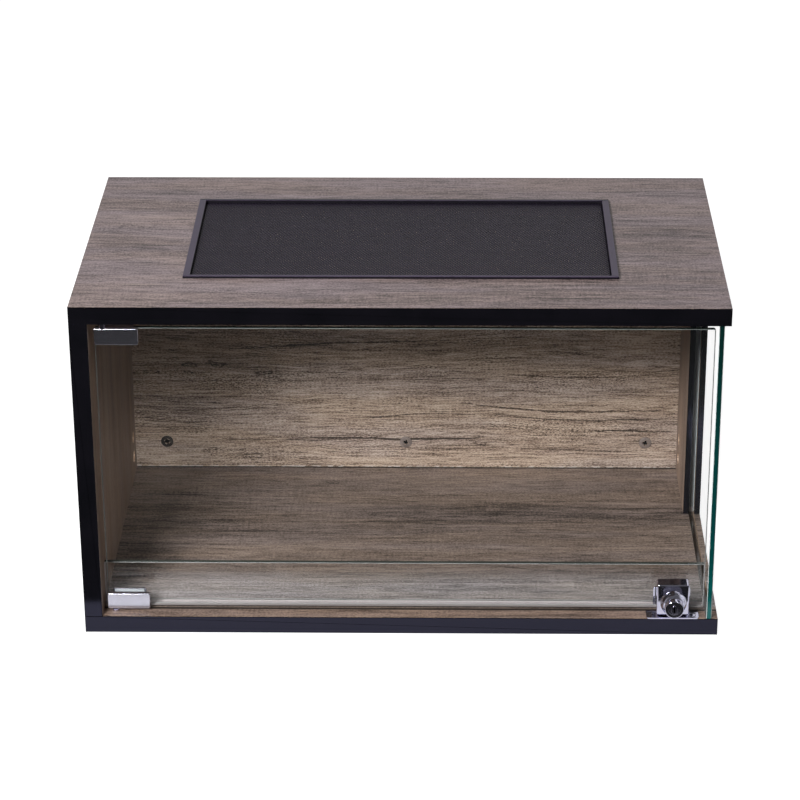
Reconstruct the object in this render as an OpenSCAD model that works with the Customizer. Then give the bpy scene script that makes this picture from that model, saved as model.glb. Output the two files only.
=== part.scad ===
// Reptile breeding box: a cabinet of laminated board with a glass side pane,
// a pivoting glass front door with a cam lock, a low glass dam behind the
// door and a framed mesh vent that lifts out of the top.
// Millimetres. Origin at the centre of the underside, +X right, +Y back, +Z up.

/* [Cabinet] */
// Overall width
box_w = 600; // [480:10:900]
// Overall depth
box_d = 340; // [310:5:500]
// Overall height
box_h = 335; // [250:5:600]
// Thickness of the boards
board_t = 17; // [15:0.5:20]
// Thickness of the edge banding on the front edges
band_t = 1; // [0.5:0.1:2]
// Depth of the wooden rear part of the right side, banding included
cheek_d = 120.5; // [70:0.5:150]

/* [Side pane] */
// Thickness of the side pane
pane_t = 5; // [4:0.5:6]
// Depth of the stopped grooves that hold it
groove_d = 6; // [4:0.5:8]
// Play of the pane in its grooves, each way
pane_play = 0.2; // [0.1:0.05:0.4]

/* [Dam] */
// Thickness of the dam pane
dam_t = 5; // [4:0.5:6]
// Height of the dam pane above the floor
dam_h = 42; // [30:1:90]
// Distance from the cabinet's front to the dam pane's front face
dam_set = 31; // [29:0.5:45]
// Width of the sealant bead on the floor
seal_w = 4.2; // [2:0.1:4.4]
// Height of the sealant bead
seal_h = 1.7; // [1:0.1:2]

/* [Door] */
// Thickness of the door pane
door_t = 5; // [4:0.5:6]
// Distance from the cabinet's front to the door pane's front face
door_set = 16; // [15:0.5:17]
// Gap between the floor and the door pane
door_gap_bottom = 3.5; // [3.2:0.1:5]
// Gap between the door pane and the top board
door_gap_top = 9.8; // [6:0.1:14]
// Gap between the left board and the door pane
door_gap_left = 4; // [3:0.1:6]
// Gap between the door pane and the side pane
door_gap_right = 1.4; // [1:0.1:4]
// Radius of the door pane's corners
door_corner_r = 2; // [0.5:0.5:5]

/* [Pivot clamps] */
// Width of a clamp's front block
clamp_w = 40.5; // [34:0.5:50]
// Height of a clamp
clamp_h = 16.2; // [14:0.1:22]
// Thickness of the front block
clamp_front_t = 4.7; // [4.2:0.1:5]
// Thickness of the rear plate
clamp_back_t = 3; // [2:0.1:3.5]
// Width of the rear plate
clamp_back_w = 32; // [24:0.5:34]
// Thickness of the web under the glass
clamp_web_t = 1.1; // [0.8:0.1:1.5]
// Corner radius of the front block
clamp_r = 1.6; // [0.5:0.1:3]
// Bevel round the front face
clamp_bevel = 0.6; // [0.2:0.1:1]
// Thickness of the pads between metal and glass
pad_t = 0.5; // [0.3:0.1:0.6]
// Diameter of the grub screws
grub_d = 4; // [3:0.5:5]
// Distance between a clamp's two grub screws
grub_pitch = 18; // [12:0.5:20]

/* [Pivots] */
// Distance from the door pane's left edge to the pivot axis
pivot_in = 7.7; // [6:0.1:9]
// Diameter of a pivot pin
pin_d = 3; // [2.5:0.1:3.4]
// Length of pin held in the clamp
pin_grip = 9; // [6:0.5:11]
// Length of pin that reaches into the board
pin_reach = 7; // [5:0.5:9]
// Play of a pin in its bush, radial
pin_play = 0.05; // [0.03:0.01:0.08]
// Diameter of a bush's collar
collar_d = 7; // [6:0.1:8]
// Diameter of a bush's shank
shank_d = 5; // [4.6:0.1:5.8]
// Length of a bush's shank in the board
shank_l = 10; // [9.5:0.1:12]
// Gap between a bush's collar and the clamp
collar_gap = 0.25; // [0.2:0.05:0.4]

/* [Lock] */
// Distance from the door pane's right edge to the lock's axis
lock_in = 30.4; // [26:0.1:40]
// Width of the housing
lock_w = 30.4; // [28:0.2:36]
// Height of the housing
lock_h = 32.2; // [30:0.2:38]
// Thickness of the housing in front of its pad
lock_t = 12.5; // [12:0.1:13.5]
// Height of the housing's lower edge above the floor
lock_rise = 2.4; // [2.2:0.1:2.6]
// Corner radius of the housing
lock_r = 2; // [0.5:0.1:4]
// Bevel round the housing's front face
lock_bevel = 0.8; // [0.3:0.1:1.2]
// Width of the rear plate behind the glass
lock_plate_w = 35.2; // [28:0.2:40]
// Height of the rear plate
lock_plate_h = 20; // [16:0.5:26]
// Thickness of the rear plate
lock_plate_t = 3; // [2:0.1:3.5]
// Length of the barrel in front of the housing
barrel_l = 19.8; // [18:0.1:24]
// Diameter of the barrel
barrel_d = 17.8; // [16.5:0.1:19]
// Diameter of the domed foot of the barrel
bell_d = 25; // [22:0.1:27]
// Length of the foot before its dome begins
bell_l = 4.6; // [3:0.1:6]
// Diameter of the plug
plug_d = 12; // [11.4:0.1:12.6]
// Play of the plug and cam in their bore, radial
plug_play = 0.06; // [0.04:0.01:0.1]
// Distance from the plug's axis to the cam pin
cam_throw = 4.2; // [3.5:0.1:4.4]
// Diameter of the cam pin
cam_pin_d = 2.4; // [2:0.1:2.6]
// Thickness of the cam disc
cam_t = 1.4; // [1:0.1:1.6]
// Play of the cam pin in the bolt's slot, each side
slot_play = 0.3; // [0.25:0.05:0.4]
// Width of the bolt
bolt_w = 15; // [14:0.1:16]
// Thickness of the bolt
bolt_t = 4; // [3.5:0.1:4.2]
// Length of the bolt
bolt_l = 23; // [21.8:0.1:24]
// Play of the bolt in its channel, each side
bolt_play = 0.2; // [0.15:0.05:0.3]

/* [Strike plate] */
// Width of the strike plate
strike_w = 49.6; // [46:0.2:56]
// Depth of the strike plate
strike_d = 15.2; // [14.6:0.1:17]
// Thickness of the strike plate
strike_t = 1.2; // [0.8:0.1:1.6]
// Corner radius of the strike plate
strike_r = 2.5; // [1:0.1:4]
// Distance between the strike plate's screws
strike_pitch = 37.2; // [34:0.2:42]
// Diameter of a strike screw's head
strike_head_d = 6.6; // [5:0.1:7]

/* [Vent] */
// Width of the vent cut-out
vent_w = 394; // [200:1:420]
// Depth of the vent cut-out
vent_d = 199; // [120:1:200]
// Distance from the cabinet's front to the cut-out
vent_front = 71; // [55:1:90]
// Width of the rim on the screen frame's side rails
rim_w = 6.5; // [5:0.5:12]
// Width of the rim on the front and rear rails
rim_d = 3.5; // [3.5:0.5:12]
// Thickness of the rim above the board
rim_t = 2.6; // [1.5:0.1:4]
// Thickness of the frame's leg inside the cut-out
leg_t = 1.5; // [1.2:0.1:2]
// Length of the leg below the board's surface
leg_l = 5; // [4:0.5:10]
// Play of the frame in the cut-out, each side
screen_play = 0.5; // [0.3:0.1:1]
// Distance from the top of the rim down to the mesh
mesh_drop = 3.4; // [3:0.1:6]
// Thickness of the mesh
mesh_t = 1; // [0.6:0.1:1.5]
// Width of a mesh wire
mesh_wire = 2; // [1:0.1:3]
// Gaps in the mesh from left to right
mesh_nx = 24; // [10:1:24]
// Gaps in the mesh from front to back
mesh_ny = 12; // [6:1:12]

/* [Cable ports] */
// Diameter of a cable port
port_d = 12; // [8:0.5:16]
// Distance from the back board to a port's axis
port_back = 20; // [12:1:30]
// Height of the lower port above the floor
port_rise = 22; // [14:1:40]
// Distance between the two ports of a side
port_pitch = 22; // [20:1:40]

/* [Screws and dowels] */
// Diameter of a back screw's head
back_head_d = 13; // [10:0.5:14]
// Thickness of a back screw's head that stands proud
back_head_t = 0.8; // [0.4:0.1:1.5]
// Diameter of a back screw's shank
back_shank_d = 5; // [4:0.5:6]
// Length of a back screw in the board
back_screw_l = 14; // [10:0.5:14]
// Height of the back screws above the floor
back_screw_rise = 30; // [20:1:60]
// Distance from a side board to the outer back screws
back_screw_in = 33; // [20:1:60]
// Diameter of a dowel
dowel_d = 8; // [6:1:8]
// Length of a dowel
dowel_l = 28; // [24:1:30]
// Play of a dowel in its hole
dowel_play = 0.05; // [0.02:0.01:0.1]

/* [Hidden] */
$fn = 48;
eps = 0.01;

// Faces of the cabinet
front_y = -box_d / 2;
back_y = box_d / 2;
wall_x = box_w / 2 - board_t;
floor_z = board_t;
ceil_z = box_h - board_t;
inner_back_y = back_y - board_t;
cheek_y = back_y - cheek_d;
board_front_y = front_y + band_t;

// Side pane, in the middle of the right side's board
pane_x = box_w / 2 - board_t / 2 - pane_t / 2;
pane_y0 = board_front_y + pane_play;
pane_y1 = cheek_y + band_t + groove_d - pane_play;

// Dam
dam_y = front_y + dam_set;
dam_gap = 0.3;
end_seal_w = 1.2;
seal_hollow = seal_h * 0.8;

// Door pane
door_x0 = -wall_x + door_gap_left;
door_x1 = pane_x - door_gap_right;
door_y = front_y + door_set;
door_z0 = floor_z + door_gap_bottom;
door_z1 = ceil_z - door_gap_top;

// Clamps, pads and pivots
clamp_y0 = door_y - pad_t - clamp_front_t;
clamp_y1 = door_y + door_t + pad_t;
clamp_x = door_x0 + clamp_w / 2;
clamp_z0 = door_z0 - clamp_web_t;
clamp_z1 = door_z1 + clamp_web_t;
pad_inset = 0.6;
pad_margin = 2;
pivot_x = door_x0 + pivot_in;
pivot_y = clamp_y0 + clamp_front_t / 2;
collar_low = clamp_z0 - floor_z - collar_gap;
collar_high = ceil_z - clamp_z1 - collar_gap;
shank_play = 0.05;
grub_z = clamp_h * 0.55;
hex_d = grub_d * 0.5;

// Lock
lock_x = door_x1 - lock_in;
lock_z0 = floor_z + lock_rise;
lock_z = lock_z0 + lock_h / 2;
lock_y1 = door_y - pad_t;
lock_y0 = lock_y1 - lock_t;
lock_back_y = door_y + door_t + pad_t;
lock_web_gap = 0.1;
lock_web_z = door_z0 - lock_z0 - lock_web_gap;
barrel_y = lock_y0 - barrel_l;
rim_depth = 0.7;
plug_y = barrel_y + rim_depth;
bolt_setback = 6;
bolt_y = lock_y0 + bolt_setback;
cam_gap = 0.1;
cam_y = bolt_y - bolt_play - cam_t - cam_gap;
pin_y = cam_y + cam_t;
channel_y0 = bolt_y - bolt_play;
channel_y1 = bolt_y + bolt_t + bolt_play;
turn = 90;
travel = 2 * cam_throw * sin(turn / 2);
rest_pin_x = cam_throw * cos(turn / 2);
rest_pin_z = cam_throw * sin(turn / 2);
bolt_lift = 0.3;
bolt_rest_z = lock_z0 + bolt_lift;
bolt_top_z = bolt_rest_z + bolt_l;
slot_low_x = rest_pin_x - cam_pin_d / 2 - slot_play;
slot_high_x = cam_throw + cam_pin_d / 2 + slot_play;
slot_half = cam_pin_d / 2 + slot_play;
pin_short = 0.3;
pocket_spare = 2;
pocket_depth = travel - (bolt_rest_z - floor_z) + pocket_spare;
pocket_play = 0.4;
keyway_w = 1.5;
keyway_h = 6.6;
keyway_l = 9;
plug_ring = 2;
plug_boss = 0.5;
plug_web = 5;
cam_screw_d = 2.5;
cam_screw_l = 4.6;
cam_head_d = 4;
cam_head_t = 0.6;
cam_head_sunk = 0.65;
cam_head_play = 0.05;
driver_w = 0.6;
driver_l = 2.8;

// Strike plate
strike_y0 = front_y;
strike_screw_in = 5.8;
strike_screw_y = strike_y0 + strike_screw_in;
strike_shank_d = 3;
strike_screw_l = 11;
strike_head_h = 1;
strike_point_l = 2;
strike_cross_w = 0.8;
strike_cross_l = 3.4;
strike_hole_play = 0.2;
screw_play = 0.05;
hole_spare = 0.3;

// Vent screen
vent_y0 = front_y + vent_front;
vent_yc = vent_y0 + vent_d / 2;
rim_x = vent_w / 2 + rim_w - leg_t - screen_play;
rim_y = vent_d / 2 + rim_d - leg_t - screen_play;
rim_top = box_h + rim_t;
mesh_z1 = rim_top - mesh_drop;
mesh_z0 = mesh_z1 - mesh_t;
ledge_w = 2;
ledge_z0 = box_h - leg_l;
mesh_play = 0.3;
mesh_x = rim_x - rim_w - mesh_play;
mesh_y = rim_y - rim_d - mesh_play;

// Screws, dowels and ports
back_screw_x = wall_x - back_screw_in;
back_screw_z = floor_z + back_screw_rise;
cross_w = 1.3;
cross_l = 6.2;
cross_turns = [20, 110];
cross_depth = 2;
head_edge = 0.3;
point_l = 4;
dowel_half = dowel_l / 2 + 1;
port_y = inner_back_y - port_back;
port_z = floor_z + port_rise;
side_dowel_ys = [front_y + 60, 0, back_y - 60];
cheek_dowel_ys = [cheek_y + 32, back_y - 25];
back_dowel_xs = [-wall_x * 0.6, 0, wall_x * 0.6];
back_dowel_zs = [box_h * 0.3, box_h * 0.7];
dowel_y = back_y - board_t / 2;
dowel_x = box_w / 2 - board_t / 2;

wood = [0.43, 0.36, 0.33];
inner_wood = [0.52, 0.43, 0.36];
edge_black = [0.07, 0.07, 0.09];
glass_green = [0.55, 0.75, 0.7, 0.4];
satin = [0.72, 0.72, 0.76];
chrome = [0.8, 0.8, 0.83];
dark_metal = [0.12, 0.12, 0.13];

// A box from one corner to the opposite one
module block(a, b) {
    translate(a) cube(b - a);
}

// A plate in the XZ plane with round corners, centred in X, standing on Z 0
module round_plate(w, h, t, r) {
    translate([0, t, 0]) rotate([90, 0, 0]) linear_extrude(t) {
        translate([-w / 2 + r, 0]) square([w - 2 * r, h]);
        translate([-w / 2, r]) square([w, h - 2 * r]);
        for (x = [-w / 2 + r, w / 2 - r], z = [r, h - r])
            translate([x, z]) circle(r);
    }
}

// The same plate with a bevel round its front face
module bevelled_plate(w, h, t, r, bevel) {
    translate([0, bevel, 0]) round_plate(w, h, t - bevel, r);
    hull() {
        translate([0, bevel, 0]) round_plate(w, h, eps, r, $fn = 32);
        translate([0, 0, bevel])
            round_plate(w - 2 * bevel, h - 2 * bevel, eps, max(r - bevel, 0.2), $fn = 32);
    }
}

// A cylinder from a point along +X, +Y or +Z
module rod_x(p, d, l) {
    translate(p) rotate([0, 90, 0]) cylinder(d = d, h = l);
}
module rod_y(p, d, l) {
    translate(p) rotate([-90, 0, 0]) cylinder(d = d, h = l);
}
module rod_z(p, d, l) {
    translate(p) cylinder(d = d, h = l);
}

// Upright dowels at the joints of floor and top; grow makes their holes
module upright_dowels(z, grow) {
    l = grow > 0 ? 2 * dowel_half : dowel_l;
    for (y = side_dowel_ys)
        rod_z([-dowel_x, y, z - l / 2], dowel_d + 2 * grow, l);
    for (y = cheek_dowel_ys)
        rod_z([dowel_x, y, z - l / 2], dowel_d + 2 * grow, l);
    for (x = back_dowel_xs)
        rod_z([x, dowel_y, z - l / 2], dowel_d + 2 * grow, l);
}

// Level dowels from the side boards into the back board's ends
module level_dowels(grow) {
    l = grow > 0 ? 2 * dowel_half : dowel_l;
    for (side = [-1, 1], z = back_dowel_zs)
        rod_x([side * wall_x - l / 2, dowel_y, z], dowel_d + 2 * grow, l);
}

module top_panel() {
    color(wood) difference() {
        block([-box_w / 2, board_front_y, ceil_z], [box_w / 2, back_y, box_h]);
        block([-vent_w / 2, vent_y0, ceil_z - 1], [vent_w / 2, vent_y0 + vent_d, box_h + 1]);
        pane_groove(ceil_z - 1, ceil_z + groove_d);
        upright_dowels(ceil_z, dowel_play);
        rod_z([pivot_x, pivot_y, ceil_z - 1], shank_d + 2 * shank_play,
            1 + shank_l + hole_spare);
    }
}

module floor_panel() {
    color(inner_wood) difference() {
        block([-box_w / 2, board_front_y, 0], [box_w / 2, back_y, floor_z]);
        pane_groove(floor_z - groove_d, floor_z + 1);
        upright_dowels(floor_z, dowel_play);
        rod_z([pivot_x, pivot_y, floor_z - shank_l - hole_spare], shank_d + 2 * shank_play,
            shank_l + hole_spare + 1);
        bolt_pocket(floor_z - pocket_depth, floor_z + 1);
        for (side = [-1, 1])
            rod_z([lock_x + side * strike_pitch / 2, strike_screw_y,
                floor_z + strike_t - strike_screw_l - hole_spare],
                strike_shank_d + 2 * screw_play, strike_screw_l);
    }
}

// The pocket that the bolt drops into, between two heights
module bolt_pocket(z0, z1) {
    block([lock_x - bolt_w / 2 - pocket_play, bolt_y - pocket_play, z0],
        [lock_x + bolt_w / 2 + pocket_play, bolt_y + bolt_t + pocket_play, z1]);
}

// The stopped groove for the side pane, between two heights
module pane_groove(z0, z1) {
    block([pane_x - pane_play, board_front_y - 1, z0],
        [pane_x + pane_t + pane_play, pane_y1 + pane_play, z1]);
}

module left_panel() {
    color(inner_wood) difference() {
        block([-box_w / 2, board_front_y, floor_z], [-wall_x, back_y, ceil_z]);
        upright_dowels(floor_z, dowel_play);
        upright_dowels(ceil_z, dowel_play);
        level_dowels(dowel_play);
        ports();
    }
}

module right_rear_panel() {
    color(inner_wood) difference() {
        block([wall_x, cheek_y + band_t, floor_z], [box_w / 2, back_y, ceil_z]);
        pane_groove(floor_z - 1, ceil_z + 1);
        upright_dowels(floor_z, dowel_play);
        upright_dowels(ceil_z, dowel_play);
        level_dowels(dowel_play);
        ports();
    }
}

// The cable ports through both side boards
module ports() {
    for (z = [port_z, port_z + port_pitch])
        rod_x([-box_w / 2 - 1, port_y, z], port_d, box_w + 2);
}

module back_panel() {
    color(inner_wood) difference() {
        block([-wall_x, inner_back_y, floor_z], [wall_x, back_y, ceil_z]);
        upright_dowels(floor_z, dowel_play);
        upright_dowels(ceil_z, dowel_play);
        level_dowels(dowel_play);
        for (x = [-back_screw_x, 0, back_screw_x])
            rod_y([x, inner_back_y - 1, back_screw_z], back_shank_d + 2 * screw_play,
                1 + back_screw_l + hole_spare);
    }
}

module top_band() {
    color(edge_black)
        block([-box_w / 2, front_y, ceil_z], [box_w / 2, board_front_y, box_h]);
}

module floor_band() {
    color(edge_black)
        block([-box_w / 2, front_y, 0], [box_w / 2, board_front_y, floor_z]);
}

module left_band() {
    color(edge_black)
        block([-box_w / 2, front_y, floor_z], [-wall_x, board_front_y, ceil_z]);
}

// Banding on the front edge of the right rear board, parted by the pane groove
module right_rear_band() {
    color(edge_black) difference() {
        block([wall_x, cheek_y, floor_z], [box_w / 2, cheek_y + band_t, ceil_z]);
        pane_groove(floor_z - 1, ceil_z + 1);
    }
}

module side_pane() {
    color(glass_green)
        block([pane_x, pane_y0, floor_z - groove_d + pane_play],
            [pane_x + pane_t, pane_y1, ceil_z + groove_d - pane_play]);
}

module dam_pane() {
    color(glass_green)
        block([-wall_x + dam_gap, dam_y, floor_z],
            [pane_x - dam_gap, dam_y + dam_t, floor_z + dam_h]);
}

// Sealant: a hollow fillet along the foot and a narrow one up each end
module dam_seal() {
    curve = [for (a = [0:15:90]) [seal_w * (sin(a) - 1), seal_h - seal_hollow * cos(a)]];
    color("gainsboro") {
        translate([-wall_x, dam_y, floor_z]) rotate([90, 0, 90])
            linear_extrude(pane_x + wall_x)
                polygon(concat([[0, 0], [-seal_w, 0]], curve));
        translate([0, dam_y, floor_z]) linear_extrude(dam_h) {
            polygon([[-wall_x, 0], [-wall_x + end_seal_w, 0], [-wall_x, -end_seal_w]]);
            polygon([[pane_x, 0], [pane_x - end_seal_w, 0], [pane_x, -end_seal_w]]);
        }
    }
}

module corner_dowels() {
    color("burlywood") {
        upright_dowels(floor_z, 0);
        upright_dowels(ceil_z, 0);
        level_dowels(0);
    }
}

// Low domed screw with a pointed end, its head's underside on Z 0, point up
module domed_screw() {
    dome = [for (a = [0:15:90])
        [back_head_d / 2 * cos(a), -head_edge - (back_head_t - head_edge) * sin(a)]];
    rotate_extrude()
        polygon(concat(dome, [[0, back_screw_l], [back_shank_d / 2, back_screw_l - point_l],
            [back_shank_d / 2, 0], [back_head_d / 2, 0]]));
}

module back_screws() {
    color(dark_metal)
        for (x = [-back_screw_x, 0, back_screw_x])
            translate([x, inner_back_y, back_screw_z]) rotate([-90, 0, 0]) difference() {
                domed_screw();
                for (a = cross_turns) rotate(a)
                    translate([-cross_l / 2, -cross_w / 2, -back_head_t - 1])
                        cube([cross_l, cross_w, 1 + back_head_t + cross_depth]);
            }
}

// A flanged bush whose collar stands on a board, bore through from the collar
module bush(collar_h) {
    difference() {
        union() {
            cylinder(d = collar_d, h = collar_h);
            translate([0, 0, -shank_l]) cylinder(d = shank_d, h = shank_l + eps);
        }
        translate([0, 0, -shank_l + 1])
            cylinder(d = pin_d + 2 * pin_play, h = shank_l + collar_h);
    }
}

module lower_bush() {
    color(satin) translate([pivot_x, pivot_y, floor_z]) bush(collar_low);
}

module upper_bush() {
    color(satin) translate([pivot_x, pivot_y, ceil_z]) mirror([0, 0, 1]) bush(collar_high);
}

module strike_plate() {
    color(chrome) difference() {
        translate([lock_x, strike_y0 + strike_d / 2, floor_z])
            linear_extrude(strike_t) {
                square([strike_w - 2 * strike_r, strike_d], center = true);
                square([strike_w, strike_d - 2 * strike_r], center = true);
                for (sx = [-1, 1], sy = [-1, 1])
                    translate([sx * (strike_w / 2 - strike_r), sy * (strike_d / 2 - strike_r)])
                        circle(strike_r);
            }
        bolt_pocket(floor_z - 1, floor_z + strike_t + 1);
        for (side = [-1, 1])
            translate([lock_x + side * strike_pitch / 2, strike_screw_y, floor_z]) {
                translate([0, 0, -1])
                    cylinder(d = strike_shank_d + 2 * strike_hole_play, h = strike_t + 2);
                translate([0, 0, strike_t - strike_head_h])
                    countersink(2 * screw_play, strike_head_h + eps);
            }
    }
}

// The cone under a strike screw's head; grow makes its countersink
module countersink(grow, h) {
    cylinder(d1 = strike_head_d - 2 * strike_head_h + grow, d2 = strike_head_d + grow, h = h);
}

module strike_screws() {
    body_l = strike_screw_l - strike_point_l - strike_head_h / 2;
    color(chrome)
        for (side = [-1, 1])
            translate([lock_x + side * strike_pitch / 2, strike_screw_y, floor_z + strike_t])
                difference() {
                    union() {
                        translate([0, 0, -strike_head_h]) countersink(0, strike_head_h);
                        translate([0, 0, -strike_screw_l + strike_point_l])
                            cylinder(d = strike_shank_d, h = body_l);
                        translate([0, 0, -strike_screw_l])
                            cylinder(d1 = strike_shank_d / 5, d2 = strike_shank_d,
                                h = strike_point_l + eps);
                    }
                    for (a = cross_turns) rotate(a)
                        translate([-strike_cross_l / 2, -strike_cross_w / 2,
                            -strike_head_h * 0.6])
                            cube([strike_cross_l, strike_cross_w, strike_head_h]);
                }
}

module door_pane() {
    color(glass_green)
        translate([(door_x0 + door_x1) / 2, door_y, door_z0])
            round_plate(door_x1 - door_x0, door_z1 - door_z0, door_t, door_corner_r);
}

// A clamp that grips the lower edge of the glass, standing on Z 0
module clamp() {
    difference() {
        union() {
            translate([clamp_x, clamp_y0, 0])
                bevelled_plate(clamp_w, clamp_h, clamp_front_t, clamp_r, clamp_bevel);
            block([clamp_x - clamp_back_w / 2, clamp_y0 + clamp_front_t - eps, 0],
                [clamp_x + clamp_back_w / 2, clamp_y1 + eps, clamp_web_t]);
            translate([clamp_x, clamp_y1, 0])
                round_plate(clamp_back_w, clamp_h, clamp_back_t, clamp_r);
        }
        rod_z([pivot_x, pivot_y, -1], pin_d, pin_grip + 1);
        for (side = [-1, 1])
            rod_y([clamp_x + side * grub_pitch / 2, clamp_y1 - 1, grub_z],
                grub_d + 2 * screw_play, clamp_back_t + 2);
    }
}

module lower_clamp() {
    color(satin) translate([0, 0, clamp_z0]) clamp();
}

module upper_clamp() {
    color(satin) translate([0, 0, clamp_z1]) mirror([0, 0, 1]) clamp();
}

// A pivot pin, pressed into its clamp and reaching into the bush
module pin(gap) {
    translate([0, 0, -gap - pin_reach])
        cylinder(d = pin_d, h = gap + pin_reach + pin_grip - hole_spare);
}

module lower_pin() {
    color(chrome) translate([pivot_x, pivot_y, clamp_z0]) pin(clamp_z0 - floor_z);
}

module upper_pin() {
    color(chrome) translate([pivot_x, pivot_y, clamp_z1]) mirror([0, 0, 1])
        pin(ceil_z - clamp_z1);
}

// A grub screw in the rear plate at a height, with its hexagon socket
module grub(x, y, z, t) {
    difference() {
        rod_y([x, y, z], grub_d, t);
        translate([x, y + t, z]) rotate([90, 0, 0])
            cylinder(d = hex_d, h = t * 0.6, $fn = 6);
    }
}

module clamp_screws() {
    color(dark_metal)
        for (side = [-1, 1], z = [clamp_z0 + grub_z, clamp_z1 - grub_z])
            grub(clamp_x + side * grub_pitch / 2, clamp_y1, z, clamp_back_t);
}

module clamp_pads() {
    color("ivory")
        for (z = [door_z0 + pad_inset, clamp_z1 - clamp_h + pad_inset]) {
            h = clamp_h - clamp_web_t - 2 * pad_inset;
            block([clamp_x - clamp_w / 2 + pad_margin, door_y - pad_t, z],
                [clamp_x + clamp_w / 2 - pad_margin, door_y, z + h]);
            block([clamp_x - clamp_back_w / 2 + pad_margin, door_y + door_t, z],
                [clamp_x + clamp_back_w / 2 - pad_margin, door_y + door_t + pad_t, z + h]);
        }
}

// Barrel and dome as one revolved profile along -Y, from the housing's face
module barrel() {
    rim = 0.9;
    steps = 10;
    dome = [for (i = [0:steps])
        let (a = acos(barrel_d / bell_d) * i / steps)
        [bell_d / 2 * cos(a), bell_l + bell_d / 2 * sin(a)]];
    edge = [for (i = [0:4])
        let (a = 22.5 * i)
        [barrel_d / 2 - rim + rim * cos(a), barrel_l - rim + rim * sin(a)]];
    translate([lock_x, lock_y0, lock_z]) rotate([90, 0, 0])
        rotate_extrude($fn = 64)
            polygon(concat([[0, -1], [bell_d / 2, -1]], dome, edge, [[0, barrel_l]]));
}

module lock_housing() {
    color(chrome) difference() {
        union() {
            translate([lock_x, lock_y0, lock_z0])
                bevelled_plate(lock_w, lock_h, lock_t, lock_r, lock_bevel);
            barrel();
            block([lock_x - lock_w / 2 + 1, lock_y1 - eps, lock_z0],
                [lock_x + lock_w / 2 - 1, lock_back_y + eps, lock_z0 + lock_web_z]);
            translate([lock_x, lock_back_y, lock_z0])
                round_plate(lock_plate_w, lock_plate_h, lock_plate_t, lock_r);
        }
        rod_y([lock_x, barrel_y - 1, lock_z], plug_d + plug_ring, 1 + rim_depth);
        rod_y([lock_x, plug_y - eps, lock_z], plug_d + 2 * plug_play, channel_y0 - plug_y + 1);
        block([lock_x - bolt_w / 2 - bolt_play, channel_y0, lock_z0 - 1],
            [lock_x + bolt_w / 2 + bolt_play, channel_y1, bolt_top_z + 2 * bolt_play]);
        for (side = [-1, 1])
            rod_y([lock_x + side * grub_pitch / 2, lock_back_y - 1, lock_z0 + lock_plate_h / 2],
                grub_d + 2 * screw_play, lock_plate_t + 2);
    }
}

module lock_pads() {
    color([0.15, 0.15, 0.15]) {
        block([lock_x - lock_w / 2 + pad_margin, door_y - pad_t, door_z0 + pad_inset],
            [lock_x + lock_w / 2 - pad_margin, door_y, lock_z0 + lock_h - pad_margin]);
        block([lock_x - lock_plate_w / 2 + pad_margin, door_y + door_t, door_z0 + pad_inset],
            [lock_x + lock_plate_w / 2 - pad_margin, door_y + door_t + pad_t,
            lock_z0 + lock_plate_h - pad_margin]);
    }
}

module lock_screws() {
    color(dark_metal)
        for (side = [-1, 1])
            grub(lock_x + side * grub_pitch / 2, lock_back_y, lock_z0 + lock_plate_h / 2,
                lock_plate_t);
}

module lock_plug() {
    color(satin) difference() {
        union() {
            rod_y([lock_x, plug_y, lock_z], plug_d, cam_y - plug_y);
            translate([lock_x, plug_y + eps, lock_z]) rotate([90, 0, 0])
                linear_extrude(plug_boss) scale([0.68, 1]) circle(d = plug_d * 0.75);
        }
        block([lock_x - keyway_w / 2, plug_y - 1, lock_z - keyway_h / 2],
            [lock_x + keyway_w / 2, plug_y + keyway_l, lock_z + keyway_h / 2]);
        rod_y([lock_x, cam_y - plug_web, lock_z], cam_screw_d + 2 * screw_play, plug_web + 1);
    }
}

// Disc on the plug's tail with the eccentric pin that drives the bolt
module lock_cam() {
    color(satin) difference() {
        union() {
            rod_y([lock_x, cam_y, lock_z], plug_d, cam_t);
            rod_y([lock_x + rest_pin_x, pin_y - eps, lock_z + rest_pin_z], cam_pin_d,
                bolt_play + cam_gap + bolt_t - pin_short);
        }
        rod_y([lock_x, cam_y - 1, lock_z], cam_screw_d + 2 * screw_play, cam_t + 2);
        rod_y([lock_x, cam_y + cam_t - cam_head_sunk - cam_head_play, lock_z],
            cam_head_d + 4 * cam_head_play, 1 + cam_head_sunk);
    }
}

module lock_cam_screw() {
    color(dark_metal) difference() {
        union() {
            rod_y([lock_x, cam_y - cam_screw_l, lock_z], cam_screw_d,
                cam_screw_l + cam_t - cam_head_sunk);
            rod_y([lock_x, cam_y + cam_t - cam_head_sunk, lock_z], cam_head_d, cam_head_t);
        }
        block([lock_x - driver_l / 2, cam_y + cam_t - cam_head_t / 2, lock_z - driver_w / 2],
            [lock_x + driver_l / 2, cam_y + cam_t + 1, lock_z + driver_w / 2]);
    }
}

// Flat bolt with a level slot that the cam pin runs in
module lock_bolt() {
    slot_z = lock_z + rest_pin_z;
    color(satin) difference() {
        block([lock_x - bolt_w / 2, bolt_y, bolt_rest_z],
            [lock_x + bolt_w / 2, bolt_y + bolt_t, bolt_top_z]);
        block([lock_x + slot_low_x + slot_half, bolt_y - 1, slot_z - slot_half],
            [lock_x + slot_high_x - slot_half, bolt_y + bolt_t + 1, slot_z + slot_half]);
        for (x = [slot_low_x + slot_half, slot_high_x - slot_half])
            rod_y([lock_x + x, bolt_y - 1, slot_z], 2 * slot_half, bolt_t + 2);
    }
}

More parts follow.
